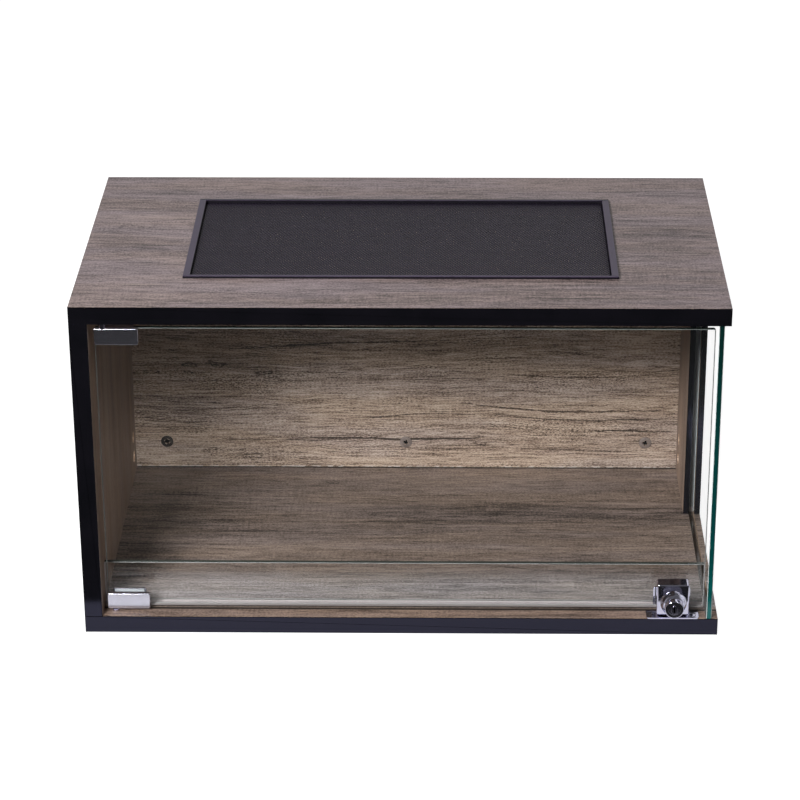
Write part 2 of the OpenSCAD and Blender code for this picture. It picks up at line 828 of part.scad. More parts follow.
// Sections of a screen rail w wide, its inner edge at X 0: the rim that lies on
// the board, and the leg inside the cut-out with its ledge for the mesh
module rim_section(w) {
    translate([-w, box_h]) square([w, rim_t]);
}
module leg_section() {
    translate([-leg_t, ledge_z0]) square([leg_t, leg_l + eps]);
    translate([-eps, ledge_z0]) square([ledge_w + eps, mesh_z0 - ledge_z0]);
}

// A rail w wide and of inner half-length a, its inner edge on the X axis and its
// outside towards -Y, mitred against neighbours that are w_next wide
module mitred_rail(a, w, w_next) {
    reach = ledge_w + mesh_play;
    slant = w_next / w;
    intersection() {
        rotate([90, 0, 90]) {
            translate([0, 0, -a - w_next]) linear_extrude(2 * (a + w_next)) rim_section(w);
            translate([0, 0, -a - leg_t]) linear_extrude(2 * (a + leg_t)) leg_section();
        }
        translate([0, 0, box_h - leg_l - 1]) linear_extrude(leg_l + rim_t + 2)
            polygon([[-a - w_next, -w], [a + w_next, -w],
                [a - reach * slant, reach], [-a + reach * slant, reach]]);
    }
}

module screen_front_rail() {
    color(edge_black) translate([0, vent_yc - rim_y + rim_d, 0])
        mitred_rail(rim_x - rim_w, rim_d, rim_w);
}

module screen_rear_rail() {
    color(edge_black) translate([0, vent_yc + rim_y - rim_d, 0]) rotate(180)
        mitred_rail(rim_x - rim_w, rim_d, rim_w);
}

module screen_left_rail() {
    color(edge_black) translate([-rim_x + rim_w, vent_yc, 0]) rotate(-90)
        mitred_rail(rim_y - rim_d, rim_w, rim_d);
}

module screen_right_rail() {
    color(edge_black) translate([rim_x - rim_w, vent_yc, 0]) rotate(90)
        mitred_rail(rim_y - rim_d, rim_w, rim_d);
}

module screen_mesh() {
    pitch_x = (2 * mesh_x - mesh_wire) / mesh_nx;
    pitch_y = (2 * mesh_y - mesh_wire) / mesh_ny;
    color(dark_metal) translate([0, vent_yc, mesh_z0]) linear_extrude(mesh_t) difference() {
        square([2 * mesh_x, 2 * mesh_y], center = true);
        for (i = [0:mesh_nx - 1], j = [0:mesh_ny - 1])
            translate([-mesh_x + mesh_wire + i * pitch_x, -mesh_y + mesh_wire + j * pitch_y])
                square([pitch_x - mesh_wire, pitch_y - mesh_wire]);
    }
}

top_panel();
floor_panel();
left_panel();
right_rear_panel();
back_panel();
top_band();
floor_band();
left_band();
right_rear_band();
side_pane();
dam_pane();
dam_seal();
corner_dowels();
back_screws();
lower_bush();
upper_bush();
strike_plate();
strike_screws();
door_pane();
lower_clamp();
upper_clamp();
lower_pin();
upper_pin();
clamp_screws();
clamp_pads();
lock_housing();
lock_pads();
lock_screws();
lock_plug();
lock_cam();
lock_cam_screw();
lock_bolt();
screen_front_rail();
screen_rear_rail();
screen_left_rail();
screen_right_rail();
screen_mesh();
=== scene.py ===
"""Looks of the reptile breeding box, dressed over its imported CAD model.

Metres, +X right, +Y back, +Z up. The origin is the centre of the underside.
"""

import math

import bmesh
import bpy
from mathutils import Matrix, Vector


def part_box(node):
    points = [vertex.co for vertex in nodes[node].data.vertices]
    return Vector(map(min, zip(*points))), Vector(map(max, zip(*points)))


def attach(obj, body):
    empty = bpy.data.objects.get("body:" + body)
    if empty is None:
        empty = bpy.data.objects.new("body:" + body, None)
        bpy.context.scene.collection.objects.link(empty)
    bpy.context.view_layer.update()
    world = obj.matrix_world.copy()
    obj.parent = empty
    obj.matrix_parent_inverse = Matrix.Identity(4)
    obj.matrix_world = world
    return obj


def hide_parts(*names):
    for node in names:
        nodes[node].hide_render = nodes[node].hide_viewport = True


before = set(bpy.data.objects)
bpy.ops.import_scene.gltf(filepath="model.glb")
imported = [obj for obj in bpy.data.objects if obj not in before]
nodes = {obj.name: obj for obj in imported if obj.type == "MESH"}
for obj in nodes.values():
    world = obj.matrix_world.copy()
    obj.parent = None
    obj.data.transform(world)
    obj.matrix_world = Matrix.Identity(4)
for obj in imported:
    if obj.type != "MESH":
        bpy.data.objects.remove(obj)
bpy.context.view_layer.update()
MM = 0.001

# Sizes that the pieces below share with the CAD source, in metres; the last is the
# radius of the screws in the rear plates of the clamps and the lock
FRONT_Y = -0.170
BACK_Y = 0.170
HALF_W = 0.300
BOARD = 0.017
LOCK_AXIS = (0.2572, 0.0355)
HOUSING_FACE_Y = -0.167
BARREL_FACE_Y = -0.1868
SCREW_R = 0.002

# Radius and length of those screws' holes, in millimetres
SCREW_HOLE = (2.05, 5)
# The painted shadow line on the floor board under the door, in front of the sealant
# bead
DOOR_SHADOW_Y = -0.1527
# Depth of bright floor that shines back from the cabinet's front
FLOOR_SEEN = 0.060


def set_camera():
    """The picture's camera, solved from the cabinet's corners at 800 by 800."""
    yaw, pitch, roll = (math.radians(a) for a in (-1.101, 24.69, -0.276))
    flat = math.cos(pitch)
    ahead = Vector((math.sin(yaw) * flat, math.cos(yaw) * flat, -math.sin(pitch)))
    level = Vector((math.cos(yaw), -math.sin(yaw), 0))
    rise = level.cross(ahead)
    right = level * math.cos(roll) + rise * math.sin(roll)
    up = rise * math.cos(roll) - level * math.sin(roll)
    data = bpy.data.cameras.new("camera")
    data.sensor_width = 36
    data.lens = 2850.9 / 800 * 36
    data.clip_end = 50
    camera = bpy.data.objects.new("camera", data)
    turn = Matrix((right, up, -ahead)).transposed().to_4x4()
    camera.matrix_world = Matrix.Translation((0.04582, -2.5376, 1.33272)) @ turn
    bpy.context.scene.collection.objects.link(camera)
    bpy.context.scene.camera = camera


set_camera()


# Node trees


def plug(tree, slot, value):
    """Sets an input socket to a value, or links it to a Num."""
    if isinstance(value, Num):
        tree.links.new(value.socket, slot)
    elif isinstance(value, (tuple, list)) and len(value) == 3 and slot.type == "RGBA":
        slot.default_value = (*value, 1)
    else:
        slot.default_value = value


def maths(operation):
    """A method of Num that adds one kind of Math node."""
    return lambda num, *others: num.math(operation, *others)


class Num:
    """An output socket; the operators on it add Math nodes to its tree."""

    def __init__(self, tree, socket):
        self.tree, self.socket = tree, socket

    def math(self, operation, *others, clamp=False):
        node = self.tree.nodes.new("ShaderNodeMath")
        node.operation, node.use_clamp = operation, clamp
        for slot, value in zip(node.inputs, (self, *others)):
            plug(self.tree, slot, value)
        return Num(self.tree, node.outputs[0])

    __add__ = __radd__ = maths("ADD")
    __sub__ = maths("SUBTRACT")
    __mul__ = __rmul__ = maths("MULTIPLY")
    __truediv__ = maths("DIVIDE")
    __abs__ = maths("ABSOLUTE")
    low = maths("MINIMUM")
    high = maths("MAXIMUM")

    def __rsub__(self, other):
        return self * -1 + other

    def clip(self):
        return self.math("ADD", 0.0, clamp=True)

    def step(self, start, end):
        """0 before start and 1 after end, smooth between them."""
        node = self.tree.nodes.new("ShaderNodeMapRange")
        node.interpolation_type = "SMOOTHSTEP"
        for slot, value in zip(node.inputs, (self, start, end, 0.0, 1.0)):
            plug(self.tree, slot, value)
        return Num(self.tree, node.outputs[0])


class Tree:
    """A node tree and the one way in which this script adds nodes to it."""

    def __init__(self, tree):
        self.tree = tree

    def add(self, kind, settings=None, inputs=None, output=0):
        """A node with its settings made first, then its inputs; returns one output."""
        node = self.tree.nodes.new(kind)
        for name, value in (settings or {}).items():
            if name == "stops":
                stops = node.color_ramp.elements
                while len(stops) < len(value):
                    stops.new(1.0)
                for stop, (place, colour) in zip(stops, value):
                    stop.position, stop.color = place, (*colour, 1)
            else:
                setattr(node, name, value)
        for name, value in (inputs or {}).items():
            plug(self.tree, node.inputs[name], value)
        return Num(self.tree, node.outputs[output]) if node.outputs else None

    def parts(self, vector):
        split = self.add("ShaderNodeSeparateXYZ", None, {0: vector})
        return [Num(self.tree, s) for s in split.socket.node.outputs]

    def vector(self, x=0.0, y=0.0, z=0.0):
        return self.add("ShaderNodeCombineXYZ", None, {0: x, 1: y, 2: z})

    def noise(self, vector, detail=3.0, rough=0.55, scale=1.0):
        sizes = {"Scale": scale, "Detail": detail, "Roughness": rough}
        return self.add("ShaderNodeTexNoise", None, {"Vector": vector, **sizes})

    def ramp(self, factor, *stops):
        return self.add("ShaderNodeValToRGB", {"stops": stops}, {0: factor})

    def mix(self, factor, first, second, kind="MIX"):
        settings = {"data_type": "RGBA", "blend_type": kind, "clamp_factor": True}
        return self.add("ShaderNodeMix", settings, {0: factor, 6: first, 7: second}, 2)

    def bump(self, height, distance, strength):
        sizes = {"Height": height, "Distance": distance, "Strength": strength}
        return self.add("ShaderNodeBump", None, sizes)

    def line(self, count, start, step):
        inputs = {"Count": count, "Start Location": start, "Offset": step}
        return self.add("GeometryNodeMeshLine", {"mode": "OFFSET"}, inputs)

    def copies(self, points, piece, turn, **others):
        inputs = {"Points": points, "Instance": piece, "Rotation": turn, **others}
        return self.add("GeometryNodeInstanceOnPoints", None, inputs)

    def realized(self, placed, material):
        """Ends a geometry tree with its copies made real, in one material."""
        real = self.add("GeometryNodeRealizeInstances", None, {0: placed})
        inputs = {0: real, "Material": material}
        shown = self.add("GeometryNodeSetMaterial", None, inputs)
        self.add("NodeGroupOutput", None, {0: shown})
        return self


class Finish(Tree):
    """A material under construction."""

    def __init__(self, name):
        self.material = bpy.data.materials.new(name)
        self.material.use_nodes = True
        super().__init__(self.material.node_tree)
        self.tree.nodes.clear()

    def place(self):
        """Object coordinates and their three parts."""
        place = self.add("ShaderNodeTexCoord", output=3)
        return place, *self.parts(place)

    def done(self, shader):
        self.add("ShaderNodeOutputMaterial", None, {0: shader})
        return self.material

    def painted(self, colour, rough, normal, **others):
        """The finished material, with one principled shader."""
        inputs = {"Base Color": colour, "Roughness": rough, "Normal": normal}
        inputs.update((k.replace("_", " "), v) for k, v in others.items())
        return self.done(self.add("ShaderNodeBsdfPrincipled", None, inputs))


def rgb(red, green, blue):
    """A colour as it shows on a screen, 0 to 255, in linear light."""
    return tuple(
        (c / 255 / 12.92) if c <= 10 else ((c / 255 + 0.055) / 1.055) ** 2.4
        for c in (red, green, blue)
    )


# Boards


def strokes(tree, along, across, lines):
    """A mask of drawn cracks. Each line is its start, its end, its sag and its width,
    in millimetres along and across the grain, and how dark it is."""
    wander = tree.noise(tree.vector(along * 15, across * 6), 4.0, 0.6)
    ragged = tree.noise(tree.vector(along * 260, across * 90), 2.0)
    mask = None
    for (a0, c0), (a1, c1), sag, width, dark in lines:
        share = ((along * 1000 - a0) / (a1 - a0)).clip()
        swell = share * (1 - share) * 4
        line = share * (c1 - c0) + swell * sag + (wander - 0.5) * 8 + c0
        gap = abs(across * 1000 - line)
        reach = swell.math("POWER", 0.4) * (ragged * 1.4 + 0.3) * width
        here = ((reach - gap) / (width * 0.5)).clip() * dark
        mask = here if mask is None else mask.high(here)
    return mask


def knots(tree, along, across, spots):
    """A mask of short gashes and knots, each its place along and across the grain,
    its radius and how dark it is."""
    wander = tree.noise(tree.vector(along * 90, across * 200), 3.0, 0.65)
    bend = tree.noise(tree.vector(along * 55, across * 20, 5.0), 2.0)
    mask = None
    for a, c, radius, dark in spots:
        dx, dy = (along * 1000 - a) / 3.4, across * 1000 - c + (bend - 0.5) * radius * 5
        far = (dx * dx + dy * dy).math("SQRT") + (wander - 0.5) * radius * 2.0
        rings = (far * (7.5 / radius)).math("COSINE") * 0.5 + 0.5
        here = (1 - far.step(radius * 0.5, radius * 1.7)) * rings * dark
        mask = here if mask is None else mask.high(here)
    return mask


def oak(name, axes, tones, seed, grit, lines=(), spots=(), light_and_tone_patches=(), rough_sawn=0.5,
        saw=0.1, worn_and_shaded=None, door_shadow_y=None):
    """Oak decor of a printed laminate. axes are the coordinates along the grain, across
    it and through the board; tones run from dark to light; grit is how fine the print
    is along and across the grain, and how strong; lines are cracks and spots knots;
    patches are each a place, a reach and how much lighter it is, partly painted light
    and shade and partly the print's uneven tone; rough_sawn is how far pale sawn fibres
    show, and saw how far bars across the grain do; worn is where a chipped lower edge
    lies, with a painted shade line in the crease below the chips; sill is where a
    painted shadow line lies under the door, with a warm strip in front of it and a
    pale, cool strip behind it, a painted reflection of the floor in the door's glass."""
    f = Finish(name)
    parts = f.place()[1:]
    along, across, through = (parts[i] for i in axes)
    fine_a, fine_c, strength = grit

    def noise(over, pace, pace_over, shift, detail=3.0, rough=0.55):
        """Noise with its pace along the grain, and across the board or its grain."""
        spot = f.vector(along * pace, over * pace_over, seed + shift)
        return f.noise(spot, detail, rough)

    sway = noise(across, 2.6, 11, 0, 2.0)
    ripple = noise(across, 17, 50, 3)
    grain = across + (sway - 0.5) * 0.030 + (ripple - 0.5) * 0.0055 + through
    broad = noise(grain, 2.8, 24, 7, 3.0, 0.6)
    figure = noise(grain, 7, 130, 11, 4.0, 0.6)
    streak = noise(grain, 15, fine_c * 0.55, 17, 3.0, 0.6)
    fibre = noise(grain, 48, fine_c * 1.1, 23, 2.0, 0.6)
    speck = noise(across, fine_a, fine_c, 29, 2.0, 0.75)
    bars = noise(across, 330, 38, 31, 1.0)
    zone = noise(across, 9, 38, 37)
    sawn = zone.step(0.50, 0.68) * rough_sawn
    barred = noise(across, 5, 16, 41, 2.0).step(0.46, 0.62)
    tone = (
        0.5
        + (broad - 0.5) * 0.55
        + (figure - 0.5) * 0.54
        + (streak - 0.5) * 0.85 * strength
        + (fibre - 0.5) * 0.95 * strength
        + (speck - 0.5) * (1.15 + sawn * 1.3) * strength
        + (bars - 0.5) * barred * saw * 2
    )
    pores = noise(grain, 42, fine_c, 43, 2.0, 0.6)
    split = noise(grain, 6, 300, 47, 3.0, 0.6)
    split_zone = noise(across, 4, 22, 53, 2.0)
    tone = tone - pores.step(0.60, 0.72) * 0.16 * strength
    tone = tone - split.step(0.64, 0.72) * split_zone.step(0.38, 0.58) * 0.30
    # Painted light and shade, with some of the print's uneven tone: each entry lightens
    # or darkens the print around its place.
    for (a, c), (ra, rc), amount in light_and_tone_patches:
        dx, dy = (along * 1000 - a) / ra, (across * 1000 - c) / rc
        near = 1 - ((dx * dx + dy * dy).math("SQRT") + (figure - 0.5)).step(0.2, 1.0)
        tone = tone + near * amount
    flakes = noise(grain, 75, fine_c * 0.8, 59, 2.0)
    pale = flakes.step(0.60, 0.70) * sawn
    if lines:
        tone = tone - strokes(f, along, across, lines)
    if spots:
        tone = tone - knots(f, along, across, spots)
    dark, mid, light = tones
    darkest = tuple(c * 0.22 for c in dark)
    stops = (0.06, darkest), (0.28, dark), (0.50, mid), (0.82, light)
    colour = f.ramp(tone.clip(), *stops)
    cool = noise(across, 4.5, 30, 61).step(0.40, 0.62)
    tint = f.mix(cool, (1.03, 0.995, 0.95), (0.97, 0.97, 1.01))
    colour = f.mix(1.0, colour, tint, "MULTIPLY")
    colour = f.mix(pale * 0.8, colour, tuple(min(c * 1.25, 1) for c in light))
    if worn_and_shaded:
        up = (across - worn_and_shaded) * 1000
        chips = noise(across, 130, 500, 67, 2.0)
        chipped = (1 - up.step(1.6, 3.4)) * chips.step(0.50, 0.58)
        colour = f.mix(chipped, colour, rgb(214, 204, 196))
        # Painted shade: a dark line along the crease where the wall meets the floor.
        colour = f.mix(1 - up.step(1.0, 1.7), colour, rgb(24, 19, 18))
    if door_shadow_y:
        inner = (across - door_shadow_y) * 1000
        warm = f.mix(inner.step(-3.0, -1.0), (1.0, 0.91, 0.85), (1.0, 1.0, 1.0))
        colour = f.mix(1.0, colour, warm, "MULTIPLY")
        # Painted reflection: the floor behind the door glass is lightened and cooled,
        # as if the glass mirrored the bright floor.
        lit = inner.step(3.0, 12.0) * (1 - inner.step(44.0, 80.0))
        colour = f.mix(lit, colour, (1.32, 1.52, 1.74), "MULTIPLY")
        # Painted shadow: a dark line under the door's lower edge.
        line = inner.step(-2.2, -1.3) * (1 - inner.step(1.3, 2.2))
        colour = f.mix(line * 0.94, colour, rgb(24, 19, 16))
    rough = 0.52 - pale * 0.12 + (streak - 0.5) * 0.16
    return f.painted(colour, rough, f.bump(tone + pale * 0.3, 0.0003, 0.3), IOR=1.46)


# The same oak laminate in four tones, one for each kind of face, each fitted to how
# bright that face shows: the differences between them are partly painted light and
# shade, and OUTER's greyer, pinker tone is partly a painted sheen.
INNER = (rgb(112, 95, 83), rgb(160, 142, 128), rgb(200, 184, 168))
FLOOR = (rgb(89, 78, 71), rgb(124, 110, 101), rgb(156, 141, 131))
SIDE = (rgb(104, 87, 76), rgb(144, 124, 110), rgb(172, 152, 136))
OUTER = (rgb(90, 79, 78), rgb(126, 112, 112), rgb(158, 143, 142))

# How fine the print is: steps per metre along and across the grain, and strength
WALL_GRIT = (400, 850, 1.22)
FLOOR_GRIT = (420, 400, 0.90)
SIDE_GRIT = (200, 500, 0.35)
TOP_GRIT = (460, 400, 0.92)

BACK_LINES = (
    ((-240, 49), (70, 54), -2, 0.7, 0.30), ((-100, 52), (82, 53), -1.5, 1.3, 0.55),
    ((188, 61), (279, 60), 0, 1.0, 0.60), ((60, 92), (279, 86), -6, 1.3, 0.40),
    ((90, 80), (279, 76), -5, 1.0, 0.38), ((-195, 152), (60, 163), 2, 1.0, 0.42),
    ((-282, 75), (-240, 72), 0, 1.2, 0.35), ((-40, 74), (60, 80), 3, 0.9, 0.32),
    ((40, 40), (240, 36), 2, 0.9, 0.22), ((100, 126), (240, 122), -2, 1.0, 0.28),
)
BACK_SPOTS = (
    (77, 47, 2.4, 0.40), (-147, 126, 2.6, 0.50), (-196, 136, 3.0, 0.50),
    (-222, 133, 2.6, 0.42), (-240, 141, 2.2, 0.32), (-262, 128, 2.4, 0.36),
    (-160, 30, 3.4, 0.34), (-205, 37, 2.6, 0.34),
)
TOP_LINES = (
    ((100, -143), (240, -147), -2, 1.3, 0.20),
    ((-250, -118), (-215, -119), 0, 1.5, 0.18),
    ((-270, -30), (-190, -36), 2, 1.3, 0.16), ((-30, -128), (120, -131), -3, 1.0, 0.18),
    ((-280, -62), (-205, -66), 2, 2.2, 0.16),
)
TOP_SPOTS = ((-262, 32, 3.4, 0.34), (222, 118, 3.5, 0.20), (-218, 128, 3.0, 0.22))
FLOOR_LINES = (
    ((-275, 88), (-150, 84), 2, 1.4, 0.30), ((-150, 84), (20, 74), 3, 1.4, 0.24),
    ((-200, 6), (-60, 2), 4, 1.6, 0.24), ((60, -60), (200, -76), -4, 1.4, 0.24),
    ((-40, 30), (60, 20), 3, 1.8, 0.20),
)
FLOOR_SPOTS = ((-75, 118, 2.4, 0.36), (-212, 137, 2.6, 0.26))

# For the oak boards, each a place, a reach and how much lighter the print is there:
# partly painted light and shade, partly the print's uneven tone.
BACK_LIGHT_AND_TONE = (
    ((-150, 125), (60, 40), -0.08), ((-120, 108), (45, 20), 0.08),
    ((-40, 78), (62, 10), -0.12), ((0, 28), (330, 14), 0.09),
    ((130, 24), (120, 10), 0.06), ((-248, 28), (44, 14), 0.12),
    ((246, 28), (44, 14), 0.12), ((-240, 82), (60, 18), -0.08),
    ((244, 80), (44, 12), -0.08),
)
FLOOR_LIGHT_AND_TONE = (
    ((100, 42), (300, 40), -0.17), ((-262, -110), (60, 26), -0.10),
    ((250, -110), (60, 26), -0.12), ((-258, -50), (50, 60), -0.20),
    ((-245, 130), (70, 34), 0.16), ((-200, 40), (110, 70), -0.16),
)
TOP_LIGHT_AND_TONE = (
    ((-250, 55), (60, 24), 0.08), ((-262, 0), (60, 34), -0.10),
    ((255, 70), (60, 40), 0.08), ((255, 10), (60, 30), -0.10),
    ((0, 150), (340, 26), 0.05),
)

oak_back = oak("oak_back", (0, 2, 1), INNER, 3.0, WALL_GRIT, BACK_LINES, BACK_SPOTS,
               BACK_LIGHT_AND_TONE, 0.8, 0.12, BOARD)
oak_floor = oak("oak_floor", (0, 1, 2), FLOOR, 11.0, FLOOR_GRIT, FLOOR_LINES,
                FLOOR_SPOTS, FLOOR_LIGHT_AND_TONE, 0.2, 0.16, door_shadow_y=DOOR_SHADOW_Y)
oak_side = oak("oak_side", (2, 1, 0), SIDE, 23.0, SIDE_GRIT, rough_sawn=0.15)
oak_top = oak("oak_top", (0, 1, 2), OUTER, 37.0, TOP_GRIT, TOP_LINES, TOP_SPOTS,
              TOP_LIGHT_AND_TONE, 0.3, 0.16)
oak_outside = oak("oak_outside", (1, 2, 0), OUTER, 51.0, TOP_GRIT, rough_sawn=0.4)
oak_rear = oak("oak_rear", (0, 2, 1), OUTER, 59.0, TOP_GRIT, rough_sawn=0.4)


def chipboard(name="board_core", pale=1.0):
    """The raw core of a board, where it was cut and not banded. pale lightens it."""
    f = Finish(name)
    place = f.place()[0]
    flakes = f.add("ShaderNodeTexVoronoi", None, {"Vector": place, "Scale": 620.0}, 1)
    shade = f.parts(flakes)[0]
    dust = f.noise(place, 4.0, 0.65, scale=900)
    tone = (shade * 0.55 + dust * 0.45).clip()
    stops = zip((0.15, 0.5, 0.85), ((104, 82, 66), (156, 132, 112), (190, 170, 150)))
    stops = [(at, tuple(c * pale for c in rgb(*shown))) for at, shown in stops]
    colour = f.ramp(tone, *stops)
    return f.painted(colour, 0.85 - dust * 0.15, f.bump(tone, 0.0006, 0.6))


def edging():
    """Glossy black plastic banding with a fine pull along its length."""
    f = Finish("black_banding")
    place, x, y, z = f.place()
    haze = f.noise(place, 3.0, 0.6, scale=26)
    pull = f.noise(f.vector(x * 60, y * 60, z * 900), 2.0)
    colour = f.mix(haze.step(0.3, 0.7), rgb(10, 10, 13), rgb(14, 13, 17))
    rough, pulled = 0.10 + haze * 0.08, f.bump(pull, 0.00002, 0.2)
    tint = (0.62, 0.62, 1, 1)
    return f.painted(colour, rough, pulled, IOR=1.52, Specular_Tint=tint)


# Glass


def clear_glass(name, most):
    """Thin float glass: no bending of light, a faint haze and a mirror share of at
    most this much, as a pane is lit evenly."""
    f = Finish(name)
    place = f.place()[0]
    smear = f.noise(place, 3.0, 0.6, scale=14)
    path = f.add("ShaderNodeLightPath", output=1)
    back = f.add("ShaderNodeNewGeometry", output=6)
    mirror = f.add("ShaderNodeFresnel", None, {"IOR": 1.5 - back * (1.5 - 1 / 1.5)})
    through = f.add("ShaderNodeBsdfTransparent", None, {0: (1, 1, 1, 1)})
    shine = f.add("ShaderNodeBsdfGlossy", None, {0: (1, 1, 1, 1), "Roughness": 0.03})
    film = f.add("ShaderNodeBsdfDiffuse", None, {0: (*rgb(205, 214, 210), 1)})

    def blend(share, one, two):
        return f.add("ShaderNodeMixShader", None, {0: share, 1: one, 2: two})

    body = blend(0.001 + smear * 0.004, through, film)
    lit = blend(mirror.low(most), body, shine)
    return f.done(blend(path, lit, through))


def glass_edge():
    """A polished edge, seen through a pane's whole width: deep teal at the front of
    the side pane, made lighter near the bright floor by painted light, and grey
    elsewhere; a painted pale band lies low on the edges, and the brown board behind
    is painted in below the groove's top."""
    f = Finish("glass_edge")
    x, y, z = f.place()[1:]
    cloud = f.noise(f.vector(x * 30, y * 30, z * 90), 3.0)
    # Painted light: the teal grows lighter lower down, near the bright floor.
    depth = (z * 3.0 + (cloud - 0.5) * 0.35).clip()
    teal = f.ramp(depth, (0.04, rgb(8, 88, 86)), (0.16, rgb(4, 72, 70)),
                  (0.28, rgb(3, 58, 58)), (0.60, rgb(5, 52, 49)),
                  (0.97, rgb(5, 32, 29)))
    front = 1 - y.step(-0.165, -0.160)
    rear = y.step(0.050, 0.054)
    plain = f.mix(rear, rgb(62, 66, 62), rgb(116, 120, 122))
    # Painted light: a pale band low on the edges; below the groove's top, the brown
    # board seen behind is painted in.
    plain = f.mix(z.step(0.0205, 0.0225), rgb(150, 144, 143), plain)
    plain = f.mix(z.step(0.0158, 0.0166), rgb(90, 79, 71), plain)
    plain = f.mix(z.step(0.3060, 0.3070), plain, rgb(34, 64, 62))
    colour = f.mix(front, plain, teal)
    return f.painted(colour, 0.08 + cloud * 0.08, f.bump(cloud, 0.0003, 0.2))


def ground_arris(name, low, high):
    """The narrow ground bevel between a pane's face and its edge: painted light makes
    it pale at the top, and at its rear and in the floor's groove the brown board behind
    it is painted in."""
    f = Finish(name)
    place, x, _, z = f.place()
    grit = f.noise(place, 2.0, 0.7, scale=2400)
    colour = f.mix(grit, low, high)
    # Painted light along the top arris; in the groove, the brown board behind is
    # painted in.
    colour = f.mix(z.step(0.3066, 0.3074), colour, rgb(156, 164, 162))
    groove = x.step(0.2880, 0.2885) * (1 - z.step(0.0168, 0.0176))
    colour = f.mix(groove, colour, rgb(92, 81, 73))
    return f.painted(colour, 0.30 + grit * 0.2, f.bump(grit, 0.00005, 0.5))


# Metals, plastics and sealant


def metal(name, colour, rough, scratch, shade, pace=(60, 60, 60), bare=1.0, pit=None):
    """Plain metal, with a cloudy tone that shade deepens and fine drawn lines in its
    roughness and bump. pace is how close the lines are on each axis, and bare how much
    of it is polished through. A screw's recess is painted in shade behind the depth
    of its pit."""
    f = Finish(name)
    place, *parts = f.place()
    cloud = f.noise(place, 4.0, 0.6, scale=160)
    drawn = f.vector(*(part * steps for part, steps in zip(parts, pace)))
    lines = f.noise(drawn, 3.0, 0.7, scale=20)
    dull = tuple(c * (1 - shade) for c in colour)
    tone = f.mix(cloud.step(0.35, 0.7), colour, dull)
    # Painted shade: the screw's cross recess and the rim of its head near the wall go
    # near black.
    if pit:
        tone = f.mix((parts[1] - pit).step(0.0, 0.0003), tone, rgb(16, 14, 14))
    rough = rough * (0.8 + cloud * 0.3 + lines * 0.1)
    return f.painted(tone, rough, f.bump(lines, 0.00003, scratch), Metallic=bare)


def coated(name, colour, rough, grain=2600, specular=1.5, rim=None):
    """A painted, moulded or rubbery surface with a fine pebble in it. It is darker
    below the height and behind the depth of a rim: painted shade."""
    f = Finish(name)
    place, _, y, z = f.place()
    pebble = f.noise(place, 3.0, 0.6, scale=grain)
    cloud = f.noise(place, 3.0, 0.55, scale=70)
    pale = tuple(c * 1.25 + 0.002 for c in colour)
    tone = f.mix((pebble * 0.5 + cloud * 0.5).step(0.35, 0.65), colour, pale)
    # Painted shade: a rail's faces below the rim's height, and any part behind its
    # depth, are near black.
    if rim:
        height, depth_y = rim
        lit = z.step(height - 0.0006, height) * (1 - y.step(depth_y, depth_y + 0.0004))
        tone = f.mix(lit, rgb(9, 5, 15), tone)
    rough = rough + (pebble - 0.5) * 0.12
    return f.painted(tone, rough, f.bump(pebble, 0.00004, 0.5), IOR=specular)


def grained(name, pace, first, second, rough, depth, strength):
    """A body with a grain in it; pace is how close that is on each axis."""
    f = Finish(name)
    parts = f.place()[1:]
    grain = f.noise(f.vector(*(part * steps for part, steps in zip(parts, pace))), 3.0)
    colour = f.mix(grain, first, second)
    return f.painted(colour, rough + grain * 0.15, f.bump(grain, depth, strength))


# The wall's face, and the depth behind which a back screw's cross and the rim of its
# head are painted in shade
WALL_Y = BACK_Y - BOARD
WALL_SHADE_DEPTH = WALL_Y - 0.0003

band_black = edging()
board_core = chipboard()
# The cable port's cut core is 1.7 times paler than the others: painted light falling
# into the port.
port_core = chipboard("port_core", 1.7)
glass_face = clear_glass("glass_face", 0.034)
side_glass_face = clear_glass("side_glass_face", 0.010)
glass_rim = glass_edge()
glass_arris = ground_arris("glass_arris", rgb(112, 114, 113), rgb(138, 141, 140))
# The side pane's arris is the same ground finish as the others, made paler: painted
# light from the bright backdrop behind it.
pale_arris = ground_arris("side_glass_arris", rgb(176, 188, 188), rgb(206, 216, 216))
chrome = metal("polished_chrome", rgb(210, 209, 229), 0.07, 0.05, 0.06)
satin_chrome = metal("satin_chrome", rgb(204, 203, 216), 0.17, 0.2, 0.06, (4, 90, 90),
                     0.98)
pin_steel = metal("turned_steel", rgb(186, 186, 190), 0.22, 0.2, 0.15, (40, 40, 400))
plug_metal = metal("nickel_plug", rgb(128, 126, 140), 0.24, 0.2, 0.2, (60, 5, 60))
dark_steel = metal("dark_steel", rgb(84, 80, 80), 0.30, 0.2, 0.3)
black_screw = metal("black_screw", rgb(92, 86, 84), 0.24, 0.3, 0.4, bare=0.7,
                    pit=WALL_SHADE_DEPTH)
aged_steel = metal("aged_screw", rgb(150, 138, 132), 0.42, 0.3, 0.3, bare=0.45,
                   pit=WALL_SHADE_DEPTH)
# Painted shade: a near-black for the lock's recessed ring, its bore and the plug's
# keyway.
recess_shade = coated("keyway_black", rgb(14, 14, 17), 0.5)
nylon = coated("nylon", rgb(164, 170, 174), 0.5, 1400)
rubber = coated("pad_rubber", rgb(40, 40, 42), 0.75, 1800)
rail_paint = coated("rail_paint", rgb(52, 42, 62), 0.42, 2200, 1.36, (0.3374, 0.0985))
wire_paint = coated("wire_paint", rgb(27, 21, 34), 0.42, 3000, 1.36)
dowel_wood = grained("beech_dowel", (300, 900, 120), rgb(206, 170, 126),
                     rgb(176, 134, 92), 0.6, 0.0002, 0.4)
sealant = grained("clear_sealant", (45, 400, 400), rgb(186, 178, 179),
                  rgb(150, 145, 144), 0.18, 0.0004, 0.5)


# Shapes


